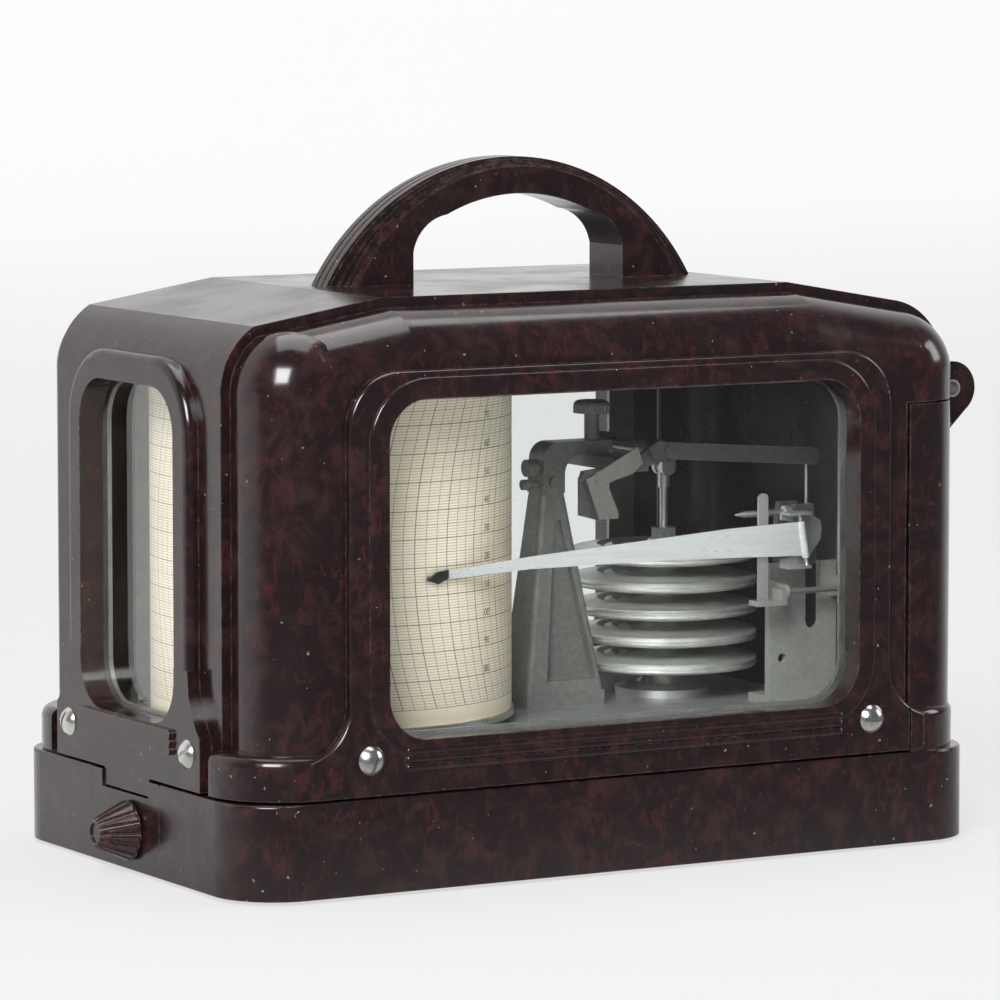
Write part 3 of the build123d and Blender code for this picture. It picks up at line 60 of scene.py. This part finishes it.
class Maker:
    """A material's node tree, with short calls for the nodes that the finishes share."""

    def __init__(self, name, **sockets):
        self.material = bpy.data.materials.new(name)
        self.material.use_nodes = True
        self.tree = self.material.node_tree
        self.shader = self.tree.nodes["Principled BSDF"]
        self.output = self.tree.nodes["Material Output"]
        for socket, value in sockets.items():
            self.shader.inputs[socket.replace("_", " ")].default_value = value
        self.place = self.new("ShaderNodeTexCoord").outputs["Object"]

    def new(self, kind, **settings):
        node = self.tree.nodes.new(kind)
        for name, value in settings.items():
            setattr(node, name, value)
        return node

    def link(self, source, target):
        self.tree.links.new(source, target)

    def feed(self, socket, value):
        """A link into the socket, or a plain number set on it."""
        if hasattr(value, "is_output"):
            self.link(value, socket)
        else:
            socket.default_value = value

    def feed_color(self, socket, value):
        """A link into the colour socket, or a plain colour set on it."""
        if hasattr(value, "is_output"):
            self.link(value, socket)
        else:
            socket.default_value = (*value, 1.0)

    def math(self, operation, a, b=0.0, c=0.0):
        node = self.new("ShaderNodeMath", operation=operation)
        for socket, value in zip(node.inputs, (a, b, c)):
            self.feed(socket, value)
        return node.outputs[0]

    def times(self, a, b):
        return self.math("MULTIPLY", a, b)

    def larger(self, *values):
        """The largest of several values."""
        result = values[0]
        for value in values[1:]:
            result = self.math("MAXIMUM", result, value)
        return result

    def inverse(self, value):
        return self.math("SUBTRACT", 1.0, value)

    def stretch(self, scale, turn=(0.0, 0.0, 0.0)):
        node = self.new("ShaderNodeMapping")
        node.inputs["Scale"].default_value = scale
        node.inputs["Rotation"].default_value = turn
        self.link(self.place, node.inputs["Vector"])
        return node.outputs[0]

    def noise(self, scale, detail=4.0, roughness=0.55, vector=None, distortion=0.0):
        node = self.new("ShaderNodeTexNoise")
        node.inputs["Scale"].default_value = scale
        node.inputs["Detail"].default_value = detail
        node.inputs["Roughness"].default_value = roughness
        node.inputs["Distortion"].default_value = distortion
        self.link(vector or self.place, node.inputs["Vector"])
        return node.outputs["Fac"]

    def band(self, value, low, high):
        """Value spread from 0 at low to 1 at high, and held there."""
        node = self.new("ShaderNodeMapRange", clamp=True, interpolation_type="SMOOTHSTEP")
        self.link(value, node.inputs["Value"])
        node.inputs["From Min"].default_value = low
        node.inputs["From Max"].default_value = high
        return node.outputs["Result"]

    def spread(self, value, low, high):
        """Value from 0..1 turned into low..high."""
        return self.math("MULTIPLY_ADD", value, high - low, low)

    def mix(self, share, first, second):
        """First colour at share 0, second at share 1."""
        node = self.new("ShaderNodeMix", data_type="RGBA")
        self.feed(node.inputs["Factor"], share)
        self.feed_color(node.inputs[6], first)
        self.feed_color(node.inputs[7], second)
        return node.outputs[2]

    def blend(self, share, first, second):
        """First shader at share 0, second at share 1."""
        node = self.new("ShaderNodeMixShader")
        self.feed(node.inputs["Fac"], share)
        self.link(first, node.inputs[1])
        self.link(second, node.inputs[2])
        return node.outputs[0]

    def glow(self, strength, color=(1.0, 1.0, 1.0)):
        node = self.new("ShaderNodeEmission")
        node.inputs["Color"].default_value = (*color, 1.0)
        self.feed(node.inputs["Strength"], strength)
        return node.outputs[0]

    def split(self, vector):
        node = self.new("ShaderNodeSeparateXYZ")
        self.link(vector, node.inputs[0])
        return node.outputs

    def color(self, value):
        self.feed_color(self.shader.inputs["Base Color"], value)

    def rough(self, value):
        self.feed(self.shader.inputs["Roughness"], value)

    def bump(self, height, depth_mm, strength=1.0):
        node = self.new("ShaderNodeBump")
        node.inputs["Strength"].default_value = strength
        node.inputs["Distance"].default_value = depth_mm * MM
        self.link(height, node.inputs["Height"])
        self.link(node.outputs[0], self.shader.inputs["Normal"])

    def facing_up(self):
        """1 on level tops, 0 on upright walls, below 0 underneath."""
        geometry = self.new("ShaderNodeNewGeometry")
        return self.split(geometry.outputs["Normal"])["Z"]

    def worn_edges(self, radius_mm, low, high):
        """1 where the surface turns sharply within the radius, 0 where it is smooth."""
        bevel = self.new("ShaderNodeBevel", samples=6)
        bevel.inputs["Radius"].default_value = radius_mm * MM
        geometry = self.new("ShaderNodeNewGeometry")
        dot = self.new("ShaderNodeVectorMath", operation="DOT_PRODUCT")
        self.link(bevel.outputs[0], dot.inputs[0])
        self.link(geometry.outputs["Normal"], dot.inputs[1])
        return self.band(self.inverse(dot.outputs["Value"]), low, high)


# Finishes: noise scales are in cycles per metre

BAKELITE_DARK = (0.0105, 0.0052, 0.0060)
BAKELITE_BROWN = (0.026, 0.0115, 0.0115)
BAKELITE_RED = (0.048, 0.0105, 0.0135)
KNOB_DARK = (0.016, 0.006, 0.007)
KNOB_BROWN = (0.035, 0.012, 0.012)
KNOB_RED = (0.11, 0.016, 0.018)
# Pale brown for sharp edges: the colour of worn Bakelite, also used as a painted highlight along the edges
BAKELITE_WORN_AND_HIGHLIT = (0.15, 0.115, 0.095)
DUST = (0.30, 0.26, 0.21)
BARE_METAL = (0.42, 0.42, 0.40)
GLASS_TINT = (0.965, 0.985, 0.975)
GLASS_SHADOW_TINT = (0.955, 0.97, 0.962)
GLASS_DIRT = (0.78, 0.78, 0.74)
DIRT_TOP = 56 * MM
DIRT_LOW = 42 * MM


def bakelite(name, dark=BAKELITE_DARK, brown=BAKELITE_BROWN, red=BAKELITE_RED, gloss=0.17):
    """Mottled moulding: near black, with brown clouds and oxblood flecks, polished, a little dusty."""
    m = Maker(name, IOR=1.5, Coat_Weight=0.15, Coat_Roughness=0.06)
    clouds = m.noise(150.0, detail=5.0, roughness=0.62, distortion=0.6)
    tall = m.stretch((1.0, 1.0, 0.55))
    flecks = m.noise(330.0, detail=3.0, roughness=0.7, vector=tall, distortion=0.9)
    body = m.mix(m.band(clouds, 0.44, 0.68), dark, brown)
    red_patches = m.band(m.noise(60.0, detail=2.0), 0.36, 0.56)
    red_area = m.times(m.band(flecks, 0.50, 0.66), red_patches)
    body = m.mix(m.times(red_area, 0.62), body, red)
    patchy = m.band(m.noise(420.0, detail=4.0, roughness=0.7), 0.42, 0.66)
    # Sharp edges turn lighter brown in patches: partly real wear, partly a painted highlight along the edges.
    # The same mask also makes these edges rougher.
    edge_wear_and_highlight = m.times(m.worn_edges(0.7, 0.02, 0.2), m.spread(patchy, 0.10, 0.55))
    body = m.mix(edge_wear_and_highlight, body, BAKELITE_WORN_AND_HIGHLIT)
    grains = m.band(m.noise(1500.0, detail=3.0, roughness=0.8), 0.60, 0.72)
    up = m.band(m.facing_up(), 0.80, 0.99)
    heap = m.band(m.noise(75.0, detail=4.0, roughness=0.6), 0.45, 0.68)
    dusty = m.times(m.times(grains, up), m.spread(heap, 0.05, 0.5))
    nicks = m.times(m.band(m.noise(620.0, detail=2.0, roughness=0.5), 0.735, 0.76), 0.55)
    m.color(m.mix(m.larger(dusty, nicks), body, DUST))
    smear = m.band(m.noise(34.0, detail=5.0, roughness=0.65), 0.3, 0.75)
    polish = m.spread(smear, gloss - 0.04, gloss + 0.12)
    m.rough(m.math("ADD", polish, m.times(m.larger(edge_wear_and_highlight, dusty), 0.35)))
    peel = m.noise(260.0, detail=2.0, roughness=0.4)
    slanted = m.stretch((0.05, 0.05, 1.0), (0.0, 0.7, 0.3))
    scratch = m.band(m.noise(900.0, detail=2.0, roughness=0.5, vector=slanted), 0.66, 0.74)
    m.bump(m.math("ADD", peel, m.times(scratch, -0.5)), depth_mm=0.025, strength=0.55)
    return m.material


def metal(name, color, rough, grain=(1.0, 1.0, 1.0), grain_scale=900.0, stain=0.2, depth_mm=0.012,
          metallic=1.0):
    """Bare metal with a fine grain along one direction and cloudy staining."""
    m = Maker(name, Metallic=metallic)
    grain_noise = m.noise(grain_scale, detail=4.0, roughness=0.65, vector=m.stretch(grain))
    cloud = m.noise(120.0, detail=4.0, roughness=0.6)
    dull = tuple(channel * 0.55 for channel in color)
    tone = m.mix(m.times(m.band(cloud, 0.4, 0.75), stain), color, dull)
    m.color(m.mix(m.times(m.band(grain_noise, 0.35, 0.7), 0.25), tone, dull))
    both = m.math("MULTIPLY_ADD", cloud, 0.6, m.times(grain_noise, 0.4))
    m.rough(m.spread(m.band(both, 0.3, 0.7), rough * 0.75, rough * 1.35))
    m.bump(grain_noise, depth_mm, strength=0.5)
    return m.material


def turned(name, color, rough, centre, pitch_mm=0.22):
    """Metal turned or spun about an upright axis through centre, with fine rings."""
    m = Maker(name, Metallic=0.8)
    shift = m.new("ShaderNodeMapping")
    shift.inputs["Location"].default_value = (-centre[0], -centre[1], 0.0)
    m.link(m.place, shift.inputs["Vector"])
    place = m.split(shift.outputs[0])
    squares = m.math("ADD", m.math("POWER", place["X"], 2.0), m.math("POWER", place["Y"], 2.0))
    radius = m.math("SQRT", squares)
    rings = m.new("ShaderNodeTexNoise", noise_dimensions="1D")
    rings.inputs["Scale"].default_value = 1.0
    rings.inputs["Detail"].default_value = 3.0
    height_shift = m.times(place["Z"], 900.0)
    m.link(m.math("MULTIPLY_ADD", radius, 1.0 / (pitch_mm * MM), height_shift), rings.inputs["W"])
    cloud = m.noise(140.0, detail=4.0, roughness=0.6)
    dull = tuple(channel * 0.6 for channel in color)
    m.color(m.mix(m.times(m.band(cloud, 0.4, 0.7), 0.35), color, dull))
    m.rough(m.spread(m.band(rings.outputs["Fac"], 0.3, 0.7), rough * 0.8, rough * 1.3))
    m.bump(rings.outputs["Fac"], depth_mm=0.01, strength=0.5)
    return m.material


def enamel(name, color, rough=0.42, speck=0.25, hammer_mm=0.05, scale=700.0):
    """Stoved paint on a casting, with a fine hammered texture and worn corners."""
    m = Maker(name, Coat_Weight=0.15, Coat_Roughness=0.25)
    pebbles = m.noise(scale, detail=3.0, roughness=0.6)
    cloud = m.noise(90.0, detail=4.0, roughness=0.6)
    light = tuple(min(1.0, channel * 1.55) for channel in color)
    dark = tuple(channel * 0.55 for channel in color)
    tone = m.mix(m.times(m.band(pebbles, 0.5, 0.75), speck), color, light)
    tone = m.mix(m.times(m.band(pebbles, 0.5, 0.25), speck), tone, dark)
    tone = m.mix(m.times(m.band(cloud, 0.45, 0.75), 0.22), tone, dark)
    patchy = m.spread(m.band(pebbles, 0.4, 0.65), 0.15, 0.75)
    m.color(m.mix(m.times(m.worn_edges(0.35, 0.05, 0.3), patchy), tone, BARE_METAL))
    m.rough(m.spread(m.band(cloud, 0.3, 0.7), rough - 0.08, rough + 0.1))
    m.bump(pebbles, hammer_mm, strength=0.6)
    return m.material


def glass(name):
    """Old window glass: clear, faintly green, with dirt gathered low down."""
    m = Maker(name, IOR=1.5, Transmission_Weight=1.0, Roughness=0.0)
    m.color(GLASS_TINT)
    clear = m.new("ShaderNodeBsdfTransparent")
    clear.inputs["Color"].default_value = (*GLASS_SHADOW_TINT, 1.0)
    film = m.new("ShaderNodeBsdfDiffuse")
    film.inputs["Color"].default_value = (*GLASS_DIRT, 1.0)
    path = m.new("ShaderNodeLightPath").outputs
    through = m.larger(path["Is Shadow Ray"], path["Is Diffuse Ray"])
    low = m.inverse(m.band(m.split(m.place)["Z"], DIRT_LOW, DIRT_TOP))
    specks = m.band(m.noise(900.0, detail=4.0, roughness=0.75), 0.62, 0.75)
    smear = m.band(m.noise(42.0, detail=4.0, roughness=0.6), 0.45, 0.8)
    dirt = m.math("ADD", m.times(m.times(low, specks), 0.3), m.math("MULTIPLY_ADD", smear, 0.006, 0.001))
    pane = m.blend(dirt, m.shader.outputs[0], film.outputs[0])
    m.link(m.blend(through, pane, clear.outputs[0]), m.output.inputs["Surface"])
    return m.material


# Chart

DRUM_LOW, DRUM_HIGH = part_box("chart_paper")
DRUM_X = (DRUM_LOW.x + DRUM_HIGH.x) / 2
CHART_RADIUS = (DRUM_HIGH.x - DRUM_LOW.x) / 2
CHART_MARGIN = 4.3 * MM
FIRST_LINE_Z = DRUM_LOW.z + CHART_MARGIN
LINE_STEP = 0.724 * MM
LINES = 118
HEAVY_EVERY = 10
MEDIUM_EVERY = 5
ARC_RADIUS = 118.0 * MM
ARC_STEP = 3.26 * MM
ARC_PIVOT_Z = 82.0 * MM
HEAVY_ARC_EVERY = 3
SEAM_ANGLE = math.radians(62.0)
STAINED_FOOT = 6 * MM
PAPER = (0.90, 0.80, 0.655)
PAPER_AGED = (0.83, 0.71, 0.545)
PAPER_FIBRE = (0.60, 0.49, 0.35)
PAPER_STAIN = (0.64, 0.50, 0.33)
CHART_INK = (0.115, 0.080, 0.058)


def rule(m, value, every, half_width):
    """1 on each line of a set, where lines are every steps apart and half_width steps wide."""
    share = m.math("PINGPONG", value, every / 2)
    return m.inverse(m.band(share, half_width * 0.6, half_width * 1.3))


def level_lines(m, height):
    """The chart's level pressure lines: fine, with each fifth stronger and each tenth strongest."""
    level = m.math("DIVIDE", m.math("SUBTRACT", height, FIRST_LINE_Z), LINE_STEP)
    past_first = m.band(level, -0.12, 0.0)
    inside = m.times(past_first, m.inverse(m.band(level, LINES, LINES + 0.1)))
    fine = m.times(rule(m, level, 1.0, 0.14), 0.62)
    medium = m.times(rule(m, level, MEDIUM_EVERY, 0.16), 0.85)
    heavy = rule(m, level, HEAVY_EVERY, 0.21)
    return m.larger(fine, medium, heavy), inside


def time_arcs(m, around, height):
    """The chart's curved time lines, each third one stronger."""
    rise = m.math("SUBTRACT", height, ARC_PIVOT_Z)
    root = m.math("SQRT", m.math("SUBTRACT", ARC_RADIUS ** 2, m.math("POWER", rise, 2.0)))
    sag = m.math("SUBTRACT", ARC_RADIUS, root)
    across = m.math("DIVIDE", m.math("SUBTRACT", around, sag), ARC_STEP)
    hour = m.times(rule(m, across, 1.0, 0.032), 0.85)
    return m.larger(hour, rule(m, across, HEAVY_ARC_EVERY, 0.048))


def chart():
    """Ruled recording paper: level pressure lines and curved time arcs, printed in brown."""
    m = Maker("chart_paper_ruled", Roughness=0.85)
    place = m.split(m.place)
    angle = m.math("ARCTAN2", place["Y"], m.math("SUBTRACT", place["X"], DRUM_X))
    from_seam = m.math("WRAP", m.math("SUBTRACT", angle, SEAM_ANGLE), 2 * math.pi, 0.0)
    around = m.times(from_seam, CHART_RADIUS)
    levels, inside = level_lines(m, place["Z"])
    ink = m.times(m.larger(levels, time_arcs(m, around, place["Z"])), inside)
    worn_ink = m.spread(m.noise(700.0, detail=3.0), 0.62, 1.0)
    fibre = m.noise(1300.0, detail=4.0, roughness=0.7)
    age = m.band(m.noise(26.0, detail=4.0, roughness=0.6), 0.35, 0.75)
    paper = m.mix(age, PAPER, PAPER_AGED)
    paper = m.mix(m.times(m.band(fibre, 0.5, 0.8), 0.18), paper, PAPER_FIBRE)
    rim = m.inverse(m.band(place["Z"], DRUM_LOW.z, DRUM_LOW.z + STAINED_FOOT))
    paper = m.mix(m.times(rim, 0.35), paper, PAPER_STAIN)
    m.color(m.mix(m.times(ink, worn_ink), paper, CHART_INK))
    m.bump(fibre, depth_mm=0.02, strength=0.4)
    return m.material


# Dress the carried-over nodes

ALONG_X = (0.06, 1.0, 1.0)
CAPSULE_LOW, CAPSULE_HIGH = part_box("vacuum_capsules")
CAPSULE_AXIS = ((CAPSULE_LOW.x + CAPSULE_HIGH.x) / 2, (CAPSULE_LOW.y + CAPSULE_HIGH.y) / 2)

case_finish = bakelite("bakelite_mottled")
knob_finish = bakelite("bakelite_knob", KNOB_DARK, KNOB_BROWN, KNOB_RED, gloss=0.2)
glass_finish = glass("window_glass")
steel_finish = metal("steel_bright", (0.66, 0.66, 0.65), 0.34, metallic=0.8)
screw_finish = metal(
    "nickel_screw", (0.78, 0.775, 0.75), 0.22,
    grain=(1.0, 1.0, 0.08), grain_scale=1200.0, stain=0.35, depth_mm=0.02)
zinc_finish = metal("zinc_dull", (0.40, 0.40, 0.385), 0.45, stain=0.4)
plate_finish = metal("bimetal_plate", (0.50, 0.49, 0.46), 0.38, stain=0.3)
arm_finish = metal(
    "aluminium_arm", (0.86, 0.87, 0.89), 0.3,
    grain=ALONG_X, grain_scale=1100.0, stain=0.12, metallic=0.45)
drum_finish = metal("aluminium_drum", (0.62, 0.62, 0.61), 0.32, grain=(1.0, 1.0, 0.1))
brass_finish = metal("brass_lacquered", (0.62, 0.46, 0.19), 0.28, stain=0.35)
bed_finish = enamel("bed_grey", (0.245, 0.25, 0.25), 0.36, speck=0.2, hammer_mm=0.03, scale=900.0)
column_finish = enamel("column_grey", (0.20, 0.20, 0.19), 0.40, speck=0.5, hammer_mm=0.06, scale=620.0)
bracket_finish = enamel("bracket_grey", (0.30, 0.30, 0.285), 0.45, speck=0.3, hammer_mm=0.03, scale=900.0)
dark_finish = enamel("lever_dark", (0.075, 0.077, 0.075), 0.36, speck=0.5, hammer_mm=0.05, scale=800.0)
felt_finish = enamel("foot_felt", (0.03, 0.03, 0.028), 0.95, speck=0.6, hammer_mm=0.1, scale=1500.0)
capsule_finish = turned("capsule_spun", (0.86, 0.86, 0.835), 0.4, CAPSULE_AXIS)
chart_finish = chart()
nib_finish = enamel("nib_inked", (0.012, 0.012, 0.014), 0.3, speck=0.4, hammer_mm=0.03, scale=1400.0)

FINISHES = {
    case_finish: ["base_tray", "latch_block", "end_standard", "cover_shell", "carry_handle"],
    knob_finish: ["latch_knob"],
    glass_finish: ["front_glass", "rear_glass", "end_glass"],
    steel_finish: ["standard_screws", "bed_screws", "handle_screws", "hinge_tubes", "latch_spindle",
                   "latch_hook", "drive_pinion", "drum_spindle", "winding_key", "capsule_foot", "stack_nut",
                   "pull_rod", "link_wire", "stop_screw", "pen_axle", "gate_pin", "lifter_bail"],
    screw_finish: ["window_screws", "chart_clip"],
    zinc_finish: ["front_retainer", "rear_retainer", "end_retainer"],
    plate_finish: ["compensator_plates"],
    arm_finish: ["pen_arm"],
    drum_finish: ["drum_body", "drum_lid"],
    brass_finish: ["sun_wheel", "drum_nut", "clock_plates", "mainspring_barrel", "clock_wheels"],
    bed_finish: ["bed_plate"],
    column_finish: ["column_bracket", "column_screws", "zero_thumbscrew"],
    bracket_finish: ["pen_bracket"],
    dark_finish: ["fulcrum_frame", "rocking_shaft", "axle_cradle"],
    felt_finish: ["base_feet"],
    capsule_finish: ["vacuum_capsules"],
    chart_finish: ["chart_paper"],
    nib_finish: ["pen_nib"],
}
for finish, names in FINISHES.items():
    for name in names:
        mesh = nodes[name].data
        mesh.materials.clear()
        mesh.materials.append(finish)


# Chart numbers

NUMBER_ANGLE = math.radians(-60.5)
NUMBER_HEIGHT = 2.7 * MM
NUMBER_LIFT = 0.04 * MM
NUMBER_ABOVE_LINE = 0.5 * MM
FIRST_NUMBER = 70
NUMBER_STEP = 10
INK_DARK = (0.06, 0.045, 0.035)
INK_FAINT = (0.11, 0.08, 0.06)


def number_mesh(label, foot_z):
    """One printed number, bent round the drum, with its foot at foot_z."""
    curve = bpy.data.curves.new("number_text", "FONT")
    curve.body = label
    curve.size = NUMBER_HEIGHT
    curve.align_x = "CENTER"
    flat = bpy.data.objects.new("number_flat", curve)
    bpy.context.scene.collection.objects.link(flat)
    mesh = bpy.data.meshes.new_from_object(flat.evaluated_get(bpy.context.evaluated_depsgraph_get()))
    bpy.data.objects.remove(flat)
    radius = CHART_RADIUS + NUMBER_LIFT
    for vertex in mesh.vertices:
        angle = NUMBER_ANGLE + vertex.co.x / radius
        vertex.co = (DRUM_X + radius * math.cos(angle), radius * math.sin(angle), foot_z + vertex.co.y)
    return mesh


def chart_numbers():
    """A column of plain numbers, one at each heavy line of the chart."""
    ink = Maker("number_ink", Roughness=0.8)
    ink.color(ink.mix(ink.noise(700.0, detail=3.0), INK_DARK, INK_FAINT))
    for index in range(1, LINES // HEAVY_EVERY + 1):
        label = f"{(FIRST_NUMBER + NUMBER_STEP * index) % 100:02d}"
        line_z = FIRST_LINE_Z + HEAVY_EVERY * index * LINE_STEP
        mesh = number_mesh(label, line_z + NUMBER_ABOVE_LINE)
        mesh.materials.append(ink.material)
        piece = bpy.data.objects.new(f"chart_number_{index}", mesh)
        bpy.context.scene.collection.objects.link(piece)
        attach(piece, "drum")


chart_numbers()


# Floor, light and camera

SWEEP_COLOR = (0.80, 0.80, 0.79)
SWEEP_GLOW = (1.0, 1.0, 0.995)
SWEEP_FRONT_Y = -6.0
SWEEP_WALL_Y = 4.0
SWEEP_WALL_TOP = 7.0
SWEEP_HALF_WIDTH = 9.0
SWEEP_BEND = 1.2
SWEEP_STEPS = 12
SHADOW_SHARE = 0.2
SWEEP_NEAR = 0.65
SWEEP_FAR = 0.88
MIRROR_NEAR = 0.14
MIRROR_FAR = 0.9
ROOM_LIGHT = (0.46, 0.465, 0.47)
ROOM_BACKDROP = (0.90, 0.90, 0.895)
ROOM_MIRROR_NEAR = (0.11, 0.112, 0.118)
ROOM_MIRROR_FAR = (0.93, 0.93, 0.925)
CAMERA_PLACE = (-0.74814, -1.29971, 0.24392)
CAMERA_DIP = math.radians(5.86)
CAMERA_TURN = math.radians(-29.95)
CAMERA_LENS_MM = 205.52
CAMERA_SENSOR_MM = 36.0


def floor():
    """A seamless pale sweep: table, curve and back wall."""
    bend_start = SWEEP_WALL_Y - SWEEP_BEND
    profile = [(SWEEP_FRONT_Y, 0.0), (bend_start, 0.0)]
    for index in range(1, SWEEP_STEPS + 1):
        angle = math.pi / 2 * index / SWEEP_STEPS
        profile.append((bend_start + SWEEP_BEND * math.sin(angle), SWEEP_BEND * (1 - math.cos(angle))))
    profile.append((SWEEP_WALL_Y, SWEEP_WALL_TOP))
    corners = [(side, y, z) for y, z in profile for side in (-SWEEP_HALF_WIDTH, SWEEP_HALF_WIDTH)]
    faces = [(2 * i, 2 * i + 1, 2 * i + 3, 2 * i + 2) for i in range(len(profile) - 1)]
    mesh = bpy.data.meshes.new("sweep")
    mesh.from_pydata(corners, [], faces)
    for face in mesh.polygons:
        face.use_smooth = True
    sweep = bpy.data.objects.new("sweep", mesh)
    bpy.context.scene.collection.objects.link(sweep)
    mesh.materials.append(sweep_finish())


def sweep_finish():
    """Pale paper: near white to the eye, with the object's shadow; darker in mirrors on the viewer's side."""
    m = Maker("sweep_paper", Roughness=0.9)
    m.color(SWEEP_COLOR)
    y = m.split(m.place)["Y"]
    path = m.new("ShaderNodeLightPath").outputs
    backdrop_glow = m.glow(m.spread(m.band(y, 0.2, 3.2), SWEEP_NEAR, SWEEP_FAR), SWEEP_GLOW)
    mirror_glow = m.glow(m.spread(m.band(y, -0.25, 0.15), MIRROR_NEAR, MIRROR_FAR))
    shaded = m.blend(SHADOW_SHARE, m.glow(0.0), m.shader.outputs[0])
    backdrop = m.new("ShaderNodeAddShader")
    m.link(shaded, backdrop.inputs[0])
    m.link(backdrop_glow, backdrop.inputs[1])
    seen = m.larger(path["Is Camera Ray"], path["Is Transmission Ray"])
    shown = m.blend(seen, m.shader.outputs[0], backdrop.outputs[0])
    m.link(m.blend(path["Is Glossy Ray"], shown, mirror_glow), m.output.inputs["Surface"])
    return m.material


def area_light(name, place, aim, size, power):
    data = bpy.data.lights.new(name, "AREA")
    data.shape = "RECTANGLE"
    data.size = size[0]
    data.size_y = size[1]
    data.energy = power
    lamp = bpy.data.objects.new(name, data)
    lamp.location = place
    direction = Vector(aim) - Vector(place)
    lamp.rotation_euler = direction.to_track_quat("-Z", "Y").to_euler()
    bpy.context.scene.collection.objects.link(lamp)


def world():
    """Soft room light: even on the object, pale to the eye, and dimmer in mirrors on the viewer's side."""
    scene_world = bpy.data.worlds.new("studio")
    bpy.context.scene.world = scene_world
    scene_world.use_nodes = True
    tree = scene_world.node_tree
    background = tree.nodes["Background"]

    def mixed(share, first, second):
        node = tree.nodes.new("ShaderNodeMix")
        node.data_type = "RGBA"
        tree.links.new(share, node.inputs["Factor"])
        for socket, value in ((node.inputs[6], first), (node.inputs[7], second)):
            if hasattr(value, "is_output"):
                tree.links.new(value, socket)
            else:
                socket.default_value = (*value, 1.0)
        return node.outputs[2]

    coords = tree.nodes.new("ShaderNodeTexCoord")
    split = tree.nodes.new("ShaderNodeSeparateXYZ")
    tree.links.new(coords.outputs["Generated"], split.inputs[0])
    ramp = tree.nodes.new("ShaderNodeMapRange")
    ramp.inputs["From Min"].default_value = 0.0
    ramp.inputs["From Max"].default_value = 0.5
    tree.links.new(split.outputs["Y"], ramp.inputs["Value"])
    path = tree.nodes.new("ShaderNodeLightPath").outputs
    mirrored = mixed(ramp.outputs["Result"], ROOM_MIRROR_NEAR, ROOM_MIRROR_FAR)
    lit = mixed(path["Is Glossy Ray"], ROOM_LIGHT, mirrored)
    seen = tree.nodes.new("ShaderNodeMath")
    seen.operation = "MAXIMUM"
    tree.links.new(path["Is Camera Ray"], seen.inputs[0])
    tree.links.new(path["Is Transmission Ray"], seen.inputs[1])
    tree.links.new(mixed(seen.outputs[0], lit, ROOM_BACKDROP), background.inputs["Color"])
    background.inputs["Strength"].default_value = 1.0


def camera():
    """The photograph's viewpoint."""
    data = bpy.data.cameras.new("view")
    data.sensor_width = CAMERA_SENSOR_MM
    data.lens = CAMERA_LENS_MM
    data.clip_start = 0.05
    data.clip_end = 60.0
    view = bpy.data.objects.new("view", data)
    view.location = CAMERA_PLACE
    view.rotation_euler = Euler((math.pi / 2 - CAMERA_DIP, 0.0, CAMERA_TURN))
    bpy.context.scene.collection.objects.link(view)
    bpy.context.scene.camera = view


floor()
world()
area_light("key", (-1.3, -1.3, 1.2), aim=(0.0, 0.0, 0.08), size=(0.9, 0.9), power=50.0)
area_light("top", (0.2, 0.3, 2.1), aim=(0.0, 0.0, 0.05), size=(1.6, 1.6), power=24.0)
area_light("side", (1.9, -0.7, 0.9), aim=(0.0, 0.0, 0.08), size=(0.7, 0.9), power=10.0)
camera()
bpy.context.scene.view_settings.view_transform = "Standard"
